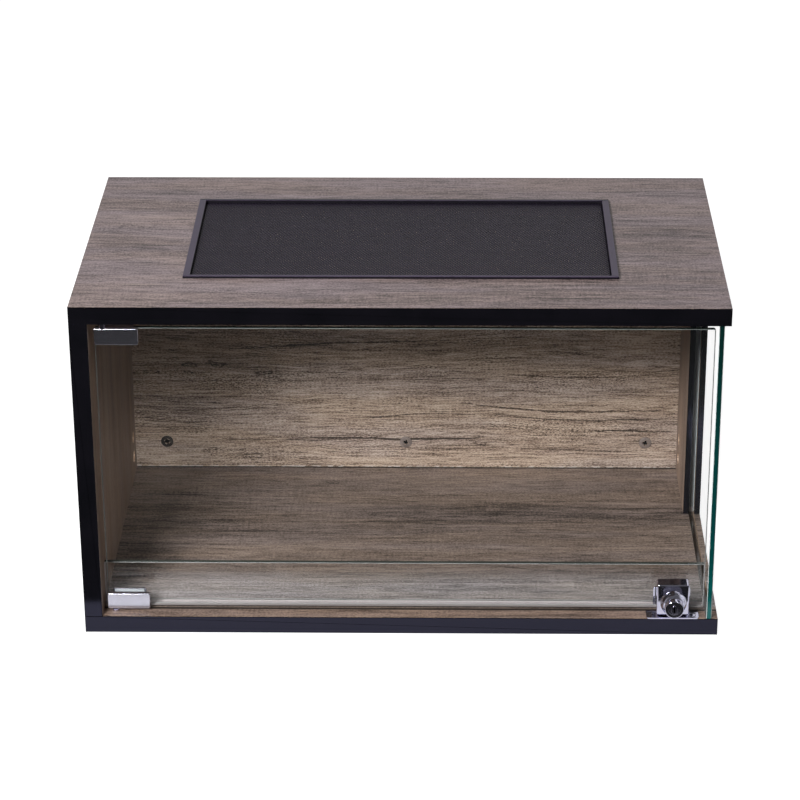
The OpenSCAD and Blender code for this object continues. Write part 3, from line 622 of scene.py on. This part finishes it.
def dress(made, *materials):
    """Gives a piece these materials and no others, and the first one to all of it."""
    made.data.materials.clear()
    for material in materials:
        made.data.materials.append(material)


def as_object(name, bm, *materials):
    """A mesh object at the origin, with its seams merged and its faces outwards."""
    bmesh.ops.remove_doubles(bm, verts=bm.verts, dist=1e-6)
    bmesh.ops.recalc_face_normals(bm, faces=bm.faces)
    mesh = bpy.data.meshes.new(name)
    bm.to_mesh(mesh)
    bm.free()
    for material in materials:
        mesh.materials.append(material)
    made = bpy.data.objects.new(name, mesh)
    bpy.context.scene.collection.objects.link(made)
    return made


def place_in(made, body, node, smooth=30.0, level=False):
    """Shades a piece, gives it its body and hides the node it stands for.
    level keeps its large level faces apart from their rounded rims."""
    mesh = made.data
    mesh.polygons.foreach_set("use_smooth", [True] * len(mesh.polygons))
    mesh.set_sharp_from_angle(angle=math.radians(smooth))
    for face in mesh.polygons if level else ():
        if face.area > 2e-6 and max(map(abs, face.normal)) > 0.9999:
            for i in face.loop_indices:
                mesh.edges[mesh.loops[i].edge_index].use_edge_sharp = True
    even = made.modifiers.new("flat faces stay flat", "WEIGHTED_NORMAL")
    even.weight, even.keep_sharp = 100, True
    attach(made, body)
    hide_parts(node)


def rounded(width, height, radius, steps=6):
    """Corner points of a round-cornered rectangle about the origin, anticlockwise."""
    points = []
    for k, (sx, sy) in enumerate(((1, 1), (-1, 1), (-1, -1), (1, -1))):
        for i in range(steps + 1):
            a = math.radians(90 * k + 90 * i / steps)
            x = sx * (width / 2 - radius) + radius * math.cos(a)
            points.append((x, sy * (height / 2 - radius) + radius * math.sin(a)))
    return points


def inset(points, amount):
    """The same outline, moved inwards by an amount at every corner."""
    result = []
    for i, here in enumerate(points):
        a = (Vector(here) - Vector(points[i - 1])).normalized()
        b = (Vector(points[(i + 1) % len(points)]) - Vector(here)).normalized()
        normal = Vector((-a.y - b.y, a.x + b.x)).normalized()
        reach = amount / max(normal.dot(Vector((-a.y, a.x))), 0.3)
        result.append(tuple(Vector(here) + normal * reach))
    return result


def slab(name, points, centre, axes, levels, indices=None, materials=()):
    """A closed plate. axes says which coordinates the outline's two and the depth
    are; levels are (depth, inset) from one face to the other; indices are the
    material of the near cap, of each band between levels and of the far cap."""
    bm = bmesh.new()
    rings = []
    for depth, amount in levels:
        ring = []
        for a, b in inset(points, amount) if amount else points:
            spot = [0.0, 0.0, 0.0]
            for axis, value in zip(axes, (a, b, depth)):
                spot[axis] = value + centre[axis]
            ring.append(bm.verts.new(spot))
        rings.append(ring)
    indices = indices or [0] * (len(levels) + 1)
    bm.faces.new(rings[0]).material_index = indices[0]
    bm.faces.new(rings[-1]).material_index = indices[-1]
    count = len(points)
    for k in range(len(rings) - 1):
        for i in range(count):
            j = (i + 1) % count
            quad = (rings[k][i], rings[k][j], rings[k + 1][j], rings[k + 1][i])
            bm.faces.new(quad).material_index = indices[k + 1]
    return as_object(name, bm, *materials)


def box_slab(name, node, ease, materials, axis=1, indices=None, steps=3, radius=0.0):
    """A slab with rounded rims that fills the box of a CAD node."""
    low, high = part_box(node)
    axes = [i for i in (0, 1, 2) if i != axis] + [axis]
    size, middle = high - low, (low + high) / 2
    wide, tall, deep = (size[i] for i in axes)
    points = rounded(wide, tall, max(radius, 1e-5), 6 if radius else 1)
    near = []
    for a in (math.radians(90 * i / steps) for i in range(steps + 1)):
        near.append((-deep / 2 + ease * (1 - math.sin(a)), ease * (1 - math.cos(a))))
    levels = sorted(near) + sorted((-d, amount) for d, amount in near)
    return slab(name, points, middle, axes, levels, indices, materials)


def block(low, high):
    """A plain box that cuts or joins another piece and is then gone."""
    bm = bmesh.new()
    bmesh.ops.create_cube(bm, size=1)
    for v in bm.verts:
        for i, (start, end) in enumerate(zip(low, high)):
            v.co[i] = (end + start) / 2 + v.co[i] * (end - start)
    return as_object("cutter", bm)


def lathe(name, profile, centre, axis, steps):
    """A closed turned piece. profile is (radius, distance along the axis) from one
    pole to the other, in millimetres."""
    bm = bmesh.new()
    others = [i for i in (0, 1, 2) if i != axis]
    rings = []
    for radius, along in profile:
        ring = []
        for i in range(steps if radius > 0 else 1):
            a = 2 * math.pi * i / steps
            spot = list(centre)
            spot[axis] += along * MM
            spot[others[0]] += radius * MM * math.cos(a)
            spot[others[1]] += radius * MM * math.sin(a)
            ring.append(bm.verts.new(spot))
        rings.append(ring)
    for k in range(len(rings) - 1):
        one, two = rings[k], rings[k + 1]
        for i in range(steps):
            j = (i + 1) % steps
            picks = (one, i), (one, j), (two, j), (two, i)
            corners = list(dict.fromkeys(ring[n % len(ring)] for ring, n in picks))
            if len(corners) > 2:
                bm.faces.new(corners)
    return as_object(name, bm)


def drill(radius, length, start, axis):
    """A round cutter in millimetres that reaches from its start along an axis."""
    profile = (0, 0), (radius, 0), (radius, length), (0, length)
    return lathe("cutter", profile, start, axis, 32)


def from_face(face, *steps):
    """Levels of a slab, each its way from a face and its inset, in millimetres."""
    return [(face + way * MM, amount * MM) for way, amount in steps]


def rear_plate(width, height, radius, middle, start, end, ease):
    """A plate that lies behind a pane, from a depth to another, with a rounded rim."""
    levels = from_face(start, (0, 0.2), (0.2, 0))
    levels += from_face(end, (-ease, 0), (0, ease))
    return slab("cutter", rounded(width, height, radius), middle, (0, 2, 1), levels)


def boolean(made, kind, *tools):
    """Joins or cuts a piece with others, which are then gone."""
    for tool in tools:
        step = made.modifiers.new("join", "BOOLEAN")
        step.operation, step.object, step.solver = kind, tool, "EXACT"
        keep_evaluated(made)
        bpy.data.objects.remove(tool)


def keep_evaluated(made):
    """Applies a piece's modifiers."""
    bpy.context.view_layer.update()
    seen = made.evaluated_get(bpy.context.evaluated_depsgraph_get())
    mesh = bpy.data.meshes.new_from_object(seen)
    made.modifiers.clear()
    made.data = mesh


def eased(name, node, ease, materials, paint=None, shortest=0.008, steps=2):
    """A copy of a CAD node with its triangles joined into whole faces and its long
    sharp edges rounded. paint gives each face its material from its middle and its
    direction."""
    bm = bmesh.new()
    bm.from_mesh(nodes[node].data)
    bmesh.ops.remove_doubles(bm, verts=bm.verts, dist=2e-6)
    flat, turned = math.radians(0.5), math.radians(40)
    bmesh.ops.dissolve_limit(bm, angle_limit=flat, verts=bm.verts, edges=bm.edges)
    rims = [
        e
        for e in bm.edges
        if len(e.link_faces) == 2
        and e.calc_length() > shortest
        and abs(e.calc_face_angle(0)) > turned
    ]
    bmesh.ops.bevel(bm, geom=rims, offset=ease, offset_type="OFFSET", segments=steps,
                    profile=0.5, affect="EDGES", clamp_overlap=True)
    bm.normal_update()
    for face in bm.faces:
        middle = face.calc_center_median()
        face.material_index = paint(middle, face.normal) if paint else 0
    return as_object(name, bm, *materials)


# Cabinet boards


def board_paint(outer_axis, outward):
    """Material of a board's face: 0 inside, 1 outside, 2 banded end, 3 raw core,
    4 cable port."""

    def choose(middle, normal):
        outwards = normal[outer_axis] * outward
        if abs(outwards) > 0.7:
            return int(outwards > 0)
        if outer_axis == 0 and 0.12 < middle.y < 0.145 and 0.03 < middle.z < 0.07:
            return 4
        if normal.y < -0.7:
            return 3
        outline = abs(middle.x) > HALF_W - 0.002 or middle.y > BACK_Y - 0.002
        return 2 if outline else 3

    return choose


BOARDS = (
    ("top_board", "top_panel", "outer", (oak_floor, oak_top), 2, 1),
    ("floor_board", "floor_panel", "inner", (oak_floor, oak_rear), 2, -1),
    ("left_board", "left_panel", "inner", (oak_side, oak_outside), 0, -1),
    ("right_board", "right_rear_panel", "inner", (oak_side, oak_outside), 0, 1),
    ("back_board", "back_panel", "inner", (oak_back, oak_rear), 1, 1),
)
for name, node, side, (inside, outside), axis, outward in BOARDS:
    layers = inside, outside, band_black, board_core, port_core
    made = eased(name, node, 0.4 * MM, layers, board_paint(axis, outward), 0.012)
    place_in(made, "cabinet", node)

for side in ("top", "floor", "left"):
    made = box_slab(side + "_edging", side + "_band", 0.45 * MM, (band_black,))
    place_in(made, "cabinet", side + "_band")
made = eased("right_edging", "right_rear_band", 0.3 * MM, (band_black,))
place_in(made, "cabinet", "right_rear_band")

# Panes

PANE_INDICES = [0, 2, 1, 2, 0]
for name, node, body, axis, radius, face, arris in (
    ("door_glass", "door_pane", "door", 1, 2 * MM, glass_face, glass_arris),
    ("dam_glass", "dam_pane", "cabinet", 1, 0.0, glass_face, glass_arris),
    ("side_glass", "side_pane", "cabinet", 0, 0.0, side_glass_face, pale_arris),
):
    layers = face, glass_rim, arris
    made = box_slab(name, node, 0.5 * MM, layers, axis, PANE_INDICES, 1, radius)
    place_in(made, body, node, smooth=20.0)

# Vent screen


def geometry_tree(name, **inputs):
    """A geometry node tree with named inputs, given as the labels of each kind."""
    group = bpy.data.node_groups.new(name, "GeometryNodeTree")
    new_socket = group.interface.new_socket
    new_socket("Geometry", in_out="OUTPUT", socket_type="NodeSocketGeometry")
    for kind, labels in inputs.items():
        for label in labels:
            new_socket(label, in_out="INPUT", socket_type="NodeSocket" + kind)
    tree = Tree(group)
    source = tree.add("NodeGroupInput").socket.node
    return tree, {s.name: Num(group, s) for s in source.outputs if s.name}


def grow(name, tree, values):
    """A plain mesh from a geometry tree, with its inputs set by name."""
    holder = bpy.data.objects.new(name, bpy.data.meshes.new(name))
    bpy.context.scene.collection.objects.link(holder)
    step = holder.modifiers.new("grow", "NODES")
    step.node_group = tree.tree
    for item in tree.tree.interface.items_tree:
        if item.in_out == "INPUT":
            step[item.identifier] = values[item.name]
    keep_evaluated(holder)
    return holder


def lattice_tree(material):
    """Diamond mesh: two sets of parallel strands, clipped to a rectangle."""
    tree, given = geometry_tree(
        "vent lattice",
        Float=("Half width", "Half depth", "Diamond width", "Diamond depth",
               "Strand width", "Strand thickness"),
        Vector=("Centre",),
    )
    half_w, half_d = given["Half width"], given["Half depth"]
    pitch, thick = given["Diamond width"], given["Strand thickness"]
    slope = given["Diamond depth"] / pitch
    stretch = (slope * slope + 1).math("SQRT")
    lean = half_d / slope
    first = (half_w + lean) * -1
    count = (half_w + lean) * 2 / pitch
    sizes = {"Vertices": 8, "Radius": 0.5, "Depth": 1.0}
    strand = tree.add("GeometryNodeMeshCylinder", {"fill_type": "NGON"}, sizes)
    sets = []
    for side in (1, -1):
        line = tree.line(count, tree.vector(first), tree.vector(pitch))
        root = tree.parts(tree.add("GeometryNodeInputPosition"))[0]
        start = (root - lean).high(half_w * -1)
        end = (root + lean).low(half_w)
        middle = (start + end) * 0.5
        lift = thick * (0.22 * side)
        spot = tree.vector(middle, (middle - root) * slope * side, lift)
        length = (end - start).high(0.0001) * stretch
        named = {"Geometry": line, "Name": "length", "Value": length}
        kind = {"data_type": "FLOAT"}
        kept = tree.add("GeometryNodeStoreNamedAttribute", kind, named)
        moved = tree.add("GeometryNodeSetPosition", None, {0: kept, "Position": spot})
        stored = tree.add("GeometryNodeInputNamedAttribute", None, {"Name": "length"})
        turn = tree.vector(0.0, math.pi / 2, slope.math("ARCTANGENT") * side)
        scale = tree.vector(thick, given["Strand width"], stored)
        sets.append(tree.copies(moved, strand, turn, Scale=scale))
    both = tree.add("GeometryNodeJoinGeometry")
    for placed in sets:
        tree.tree.links.new(placed.socket, both.socket.node.inputs[0])
    centre = {0: both, "Translation": given["Centre"]}
    return tree.realized(tree.add("GeometryNodeTransform", None, centre), material)


mesh_low, mesh_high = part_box("screen_mesh")
mesh_middle = (mesh_low + mesh_high) / 2
made = grow(
    "vent_mesh",
    lattice_tree(wire_paint),
    {
        "Half width": (mesh_high.x - mesh_low.x) / 2 - 0.6 * MM,
        "Half depth": (mesh_high.y - mesh_low.y) / 2 - 0.6 * MM,
        "Diamond width": 3.22 * MM,
        "Diamond depth": 4.5 * MM,
        "Strand width": 1.6 * MM,
        "Strand thickness": 0.9 * MM,
        "Centre": tuple(mesh_middle),
    },
)
place_in(made, "screen", "screen_mesh", smooth=50.0)
for side in ("front", "rear", "left", "right"):
    node = f"screen_{side}_rail"
    made = eased(side + "_rail", node, 0.5 * MM, (rail_paint,), None, 0.0022, 3)
    place_in(made, "screen", node)

# Pivot clamps


def clamp_piece(name, which):
    """A clamp of a front block, a web at the glass's edge and a rear plate, with the
    holes for its pin and grub screws."""
    node, lower = which + "_clamp", which == "lower"
    low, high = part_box(node)
    pads_low, pads_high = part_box("clamp_pads")
    height, corner = high.z - low.z, 1.6 * MM
    middle = ((low.x + high.x) / 2, 0.0, (low.z + high.z) / 2)
    back_width, back_start, front_end = 32 * MM, pads_high.y, pads_low.y
    levels = from_face(low.y, (0, 0.6), (0.12, 0.3), (0.35, 0.09), (0.6, 0))
    levels += from_face(front_end, (-0.2, 0), (0, 0.2))
    outline = rounded(high.x - low.x, height, corner)
    made = slab(name, outline, middle, (0, 2, 1), levels)
    plate = rear_plate(back_width, height, corner, middle, back_start, high.y, 0.4)
    web = 1.1 * MM
    floor = low.z if lower else high.z - web
    bar = block(
        (middle[0] - back_width / 2, front_end - 0.1 * MM, floor),
        (middle[0] + back_width / 2, back_start + 0.1 * MM, floor + web),
    )
    boolean(made, "UNION", bar, plate)
    pin_low, pin_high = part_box(which + "_pin")
    pin = (pin_low + pin_high) / 2
    hole_start = low.z - 1 * MM if lower else high.z - 9 * MM
    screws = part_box("clamp_screws")
    screw_z = low.z + height * 0.55 if lower else high.z - height * 0.55
    tools = [drill(1.52, 10, (pin.x, pin.y, hole_start), 2)]
    for x in (screws[0].x + SCREW_R, screws[1].x - SCREW_R):
        tools.append(drill(*SCREW_HOLE, (x, back_start - 1 * MM, screw_z), 1))
    boolean(made, "DIFFERENCE", *tools)
    dress(made, satin_chrome)
    place_in(made, "door", node, level=True)


clamp_piece("bottom_clamp", "lower")
clamp_piece("head_clamp", "upper")

# Lock


def lock_body():
    """The chrome housing: a cast block with a flared foot, the barrel and the rear
    plate, with the plug's bore and the bolt's channel cut through."""
    x, z = LOCK_AXIS
    low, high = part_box("lock_housing")
    bolt_low, bolt_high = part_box("lock_bolt")
    glass_low, glass_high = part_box("door_pane")
    width, height = 30.4 * MM, high.z - low.z
    pad, rear_height = 0.5 * MM, 20 * MM
    middle = (x, 0.0, (low.z + high.z) / 2)
    face = HOUSING_FACE_Y
    back = glass_low.y - pad
    rim = (0, 1.2), (0.12, 0.75), (0.4, 0.32), (0.75, 0.09), (1.2, 0)
    levels = [*from_face(face, *rim), (back, 0)]
    outline = rounded(width, height, 2.4 * MM, 8)
    made = slab("lock_case", outline, middle, (0, 2, 1), levels)
    # The barrel in millimetres: its domed foot, its straight part and its rounded rim
    foot, foot_end, radius, rim = 12.5, -4.6, 8.9, 0.9
    reach = (BARREL_FACE_Y - face) * 1000
    turned = [(0, 1.0), (foot, 1.0), (foot, foot_end)]
    for a in map(math.radians, range(4, 45, 4)):
        turned.append((foot * math.cos(a), foot_end - foot * math.sin(a)))
    turned += [(radius, -13.5), (radius, -18.9)]
    for a in map(math.radians, range(15, 91, 15)):
        across = radius - rim + rim * math.cos(a)
        turned.append((across, reach + rim - rim * math.sin(a)))
    turned.append((0, turned[-1][1]))
    barrel = lathe("cutter", turned, (x, face, z), 1, 96)
    rear_start = glass_high.y + pad
    rear_z = low.z + rear_height / 2
    rear_size, rear_middle = (high.x - low.x, rear_height, 2 * MM), (x, 0.0, rear_z)
    rear = rear_plate(*rear_size, rear_middle, rear_start, high.y, 0.5)
    web = block(
        (x - width / 2 + 1 * MM, back - 0.1 * MM, low.z),
        (x + width / 2 - 1 * MM, rear_start + 0.1 * MM, glass_low.z - 0.1 * MM),
    )
    boolean(made, "UNION", barrel, web, rear)
    # The ring around the plug's face, then the plug's bore
    bore, end = 6.06, 19.6
    profile = (0, -1), (7, -1), (7, 0), (6.8, 0.7), (bore, 0.7), (bore, end), (0, end)
    recess = lathe("cutter", profile, (x, BARREL_FACE_Y, z), 1, 64)
    play = 0.2 * MM
    channel = block(
        (bolt_low.x - play, bolt_low.y - play, low.z - 1 * MM),
        (bolt_high.x + play, bolt_high.y + play, bolt_high.z + 2 * play),
    )
    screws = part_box("lock_screws")
    holes = [
        drill(*SCREW_HOLE, (hole_x, rear_start - 1 * MM, rear_z), 1)
        for hole_x in (screws[0].x + SCREW_R, screws[1].x - SCREW_R)
    ]
    boolean(made, "DIFFERENCE", recess, channel, *holes)
    dress(made, chrome, recess_shade)
    # Painted shade: the recessed ring and the bore take the near-black material.
    for part in made.data.polygons:
        c = part.center
        far = math.hypot(c.x - x, c.z - z)
        deep = BARREL_FACE_Y + 0.05 * MM < c.y < BARREL_FACE_Y + 1.2 * MM
        inside = far < 7.45 * MM and c.y < face - 0.2 * MM
        part.material_index = int(inside and (deep or far < 6.2 * MM))
    place_in(made, "door", "lock_housing", smooth=32.0, level=True)


lock_body()


def plug_piece():
    """The plug with its keyway, its face a low oval boss."""
    x, z = LOCK_AXIS
    face = BARREL_FACE_Y + 0.7 * MM
    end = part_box("lock_plug")[1].y
    long = (end - face) * 1000
    profile = (0, 0), (5.6, 0), (5.9, 0.12), (6.0, 0.4), (6.0, long), (0, long)
    made = lathe("key_plug", profile, (x, face, z), 1, 64)
    turns = [2 * math.pi * i / 40 for i in range(40)]
    oval = [(3.06 * MM * math.cos(a), 4.5 * MM * math.sin(a)) for a in turns]
    levels = from_face(face, (-0.5, 0.45), (-0.42, 0.2), (-0.25, 0.05), (0.1, 0))
    boolean(made, "UNION", slab("cutter", oval, (x, 0.0, z), (0, 2, 1), levels))
    keyway = block(
        (x - 0.75 * MM, face - 1 * MM, z - 3.3 * MM),
        (x + 0.75 * MM, face + 9 * MM, z + 3.3 * MM),
    )
    cam_hole = drill(1.3, 6, (x, end - 5 * MM, z), 1)
    boolean(made, "DIFFERENCE", keyway, cam_hole)
    dress(made, plug_metal, recess_shade)
    # Painted shade: the keyway's faces take the near-black material.
    for part in made.data.polygons:
        c = part.center
        slot = abs(c.x - x) < 0.8 * MM and abs(c.z - z) < 3.35 * MM
        part.material_index = int(slot and face - 0.45 * MM < c.y < face + 9.1 * MM)
    place_in(made, "plug", "lock_plug", smooth=32.0)


plug_piece()

made = eased("drop_bolt", "lock_bolt", 0.3 * MM, (pin_steel,), shortest=0.003)
place_in(made, "bolt", "lock_bolt")
made = eased("strike", "strike_plate", 0.25 * MM, (chrome,), shortest=0.005)
place_in(made, "cabinet", "strike_plate")

# Screws


def cross_screw(radius, dome, shank, length, cross, sunk, material, turn):
    """A screw about the origin, in millimetres, with a domed head and a tapered cross
    recess, turned about X by some degrees from where its head looks down."""
    top = -dome - sunk
    arc = [math.radians(10 * i) for i in range(10)]
    head = [(radius * math.sin(a), -dome * math.cos(a) - sunk) for a in arc]
    neck = radius * 0.5 if sunk else 0.0
    body = [(shank / 2, neck), (shank / 2, length * 0.72), (0, length)]
    made = lathe("cutter", head + body, (0, 0, 0), 2, 48)
    for k in range(2):
        long, thick, deep = cross / 2, cross * 0.15, radius * 0.34
        bm = bmesh.new()
        bmesh.ops.create_cube(bm, size=1)
        for v in bm.verts:
            above = v.co.z < 0
            x = math.copysign(long if above else long * 0.8, v.co.x)
            y = math.copysign(thick, v.co.y)
            z = top - 1 if above else top + deep
            v.co = Vector((y, x, z) if k else (x, y, z)) * MM
        boolean(made, "DIFFERENCE", as_object("cutter", bm))
    dress(made, material)
    made.data.transform(Matrix.Rotation(math.radians(turn), 4, "X"))
    return made


def row_tree():
    """A row of copies of a piece, each turned about an axis by chance."""
    tree, given = geometry_tree(
        "row of pieces",
        Object=("Piece",),
        Int=("Count", "Seed"),
        Vector=("Start", "Step", "Turn axis"),
        Float=("Least turn", "Most turn"),
        Material=("Material",),
    )
    line = tree.line(given["Count"], given["Start"], given["Step"])
    shown = {"Object": given["Piece"]}
    piece = tree.add("GeometryNodeObjectInfo", None, shown, "Geometry")
    limits = {2: given["Least turn"], 3: given["Most turn"], "Seed": given["Seed"]}
    chance = tree.add("FunctionNodeRandomValue", {"data_type": "FLOAT"}, limits, 1)
    axis = {0: given["Turn axis"], "Scale": chance}
    turn = tree.add("ShaderNodeVectorMath", {"operation": "SCALE"}, axis)
    return tree.realized(tree.copies(line, piece, turn), given["Material"])


row = row_tree()


def screw_row(name, node, slot, *values):
    """A row of screws that stands for a CAD node; values are the tree's, in order."""
    labels = ("Piece", "Count", "Seed", "Start", "Step", "Turn axis", "Least turn",
              "Most turn", "Material")
    made = grow(name, row, dict(zip(labels, values)))
    place_in(made, "cabinet", node, smooth=28.0)


back_low, back_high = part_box("back_screws")
back_z, apart = (back_low.z + back_high.z) / 2, 0.25
screw = cross_screw(6.5, 0.8, 5, 14, 7.2, 0, aged_steel, -90)
for name, first, count, material, seed in (
    ("left_back_screw", -apart, 1, black_screw, 4),
    ("back_wall_screws", 0.0, 2, aged_steel, 9),
):
    screw_row(name, "back_screws", "screw_steel", screw, count, seed,
              (first, WALL_Y, back_z), (apart, 0, 0), (0, 1, 0), 0.2, 0.6, material)
bpy.data.objects.remove(screw)

low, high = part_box("strike_screws")
head = 3.3
screw = cross_screw(head, 0.25, 3, 10, 3.6, -0.2, chrome, 180)
start = (low.x + head * MM, (low.y + high.y) / 2, high.z)
step = (high.x - low.x - 2 * head * MM, 0, 0)
screw_row("strike_plate_screws", "strike_screws", "chrome", screw, 2, 3, start, step,
          (0, 0, 1), 0.1, 0.9, chrome)
bpy.data.objects.remove(screw)

# CAD nodes that stay as they are

for material, *names in (
    (sealant, "dam_seal"),
    (dowel_wood, "corner_dowels"),
    (chrome, "lower_bush", "upper_bush"),
    (pin_steel, "lower_pin", "upper_pin"),
    (dark_steel, "clamp_screws", "lock_screws", "lock_cam_screw"),
    (nylon, "clamp_pads"),
    (rubber, "lock_pads"),
    (plug_metal, "lock_cam"),
):
    for name in names:
        for place in nodes[name].material_slots:
            place.material = material

# Studio


def lamp(name, kind, place, aim, power):
    """A lamp that looks from its place at its aim; returns its data."""
    data = bpy.data.lights.new(name, kind)
    data.energy = power
    made = bpy.data.objects.new(name, data)
    made.location = place
    way = Vector(aim) - Vector(place)
    made.rotation_euler = way.to_track_quat("-Z", "Y").to_euler()
    bpy.context.scene.collection.objects.link(made)
    return data


def studio():
    """A pale floor, a white background and soft lamps."""
    f = Finish("studio_floor")
    shown = f.add("ShaderNodeLightPath", output="Is Camera Ray")
    mirrored = f.add("ShaderNodeLightPath", output="Is Glossy Ray")
    tone = 0.20 + shown * 0.20 + mirrored * 0.70
    diffuse = f.add("ShaderNodeBsdfDiffuse", None, {"Color": tone})
    glow = f.add("ShaderNodeEmission", None, {"Strength": shown * 0.95})
    floor_paint = f.done(f.add("ShaderNodeAddShader", None, {0: diffuse, 1: glow}))
    edge = FRONT_Y - FLOOR_SEEN
    for name, near, far, glossy in (
        ("near_floor", edge, 4, True),
        ("far_floor", -5, edge, False),
    ):
        bm = bmesh.new()
        corners = (-4, near), (4, near), (4, far), (-4, far)
        bm.faces.new([bm.verts.new((x, y, -0.0004)) for x, y in corners])
        plane = as_object(name, bm, floor_paint)
        plane.visible_glossy = glossy
    world = bpy.data.worlds.new("studio")
    bpy.context.scene.world = world
    world.use_nodes = True
    w = Tree(world.node_tree)
    w.tree.nodes.clear()
    shown = w.add("ShaderNodeLightPath", output="Is Camera Ray")
    mirrored = w.add("ShaderNodeLightPath", output="Is Glossy Ray")
    _, back, rise = w.parts(w.add("ShaderNodeTexCoord", output="Generated"))
    sky = 0.10 + (back + 0.25).step(0.0, 0.5) * (1 - rise.step(0.45, 0.85)) * 0.80
    sky = sky * rise.step(-0.02, 0.02) + 0.02
    strength = shown + (1 - shown) * (mirrored * sky + (1 - mirrored) * 0.09)
    light = w.add("ShaderNodeBackground", None, {0: (1, 1, 1, 1), 1: strength})
    w.add("ShaderNodeOutputWorld", None, {0: light})
    for name, place, height, size, power in (
        ("softbox", (-1.12, -2.27, 1.69), 0.15, (0.90, 0.58), 110),
        ("overhead_left", (-1.03, -1.54, 2.37), 0.2, (0.6, 0.6), 8),
        ("overhead_right", (1.79, -1.45, 2.29), 0.2, (0.6, 0.6), 10),
    ):
        data = lamp(name, "AREA", place, (0, 0, height), power)
        data.shape = "RECTANGLE"
        data.size, data.size_y = size
    corner = (-0.255, WALL_Y, 0.012)
    data = lamp("corner_spot", "SPOT", (0.35, -2.20, 0.85), corner, 105)
    data.spot_size, data.spot_blend = math.radians(5.0), 1.0
    data.shadow_soft_size = 0.05
    bpy.context.scene.view_settings.view_transform = "Standard"


studio()
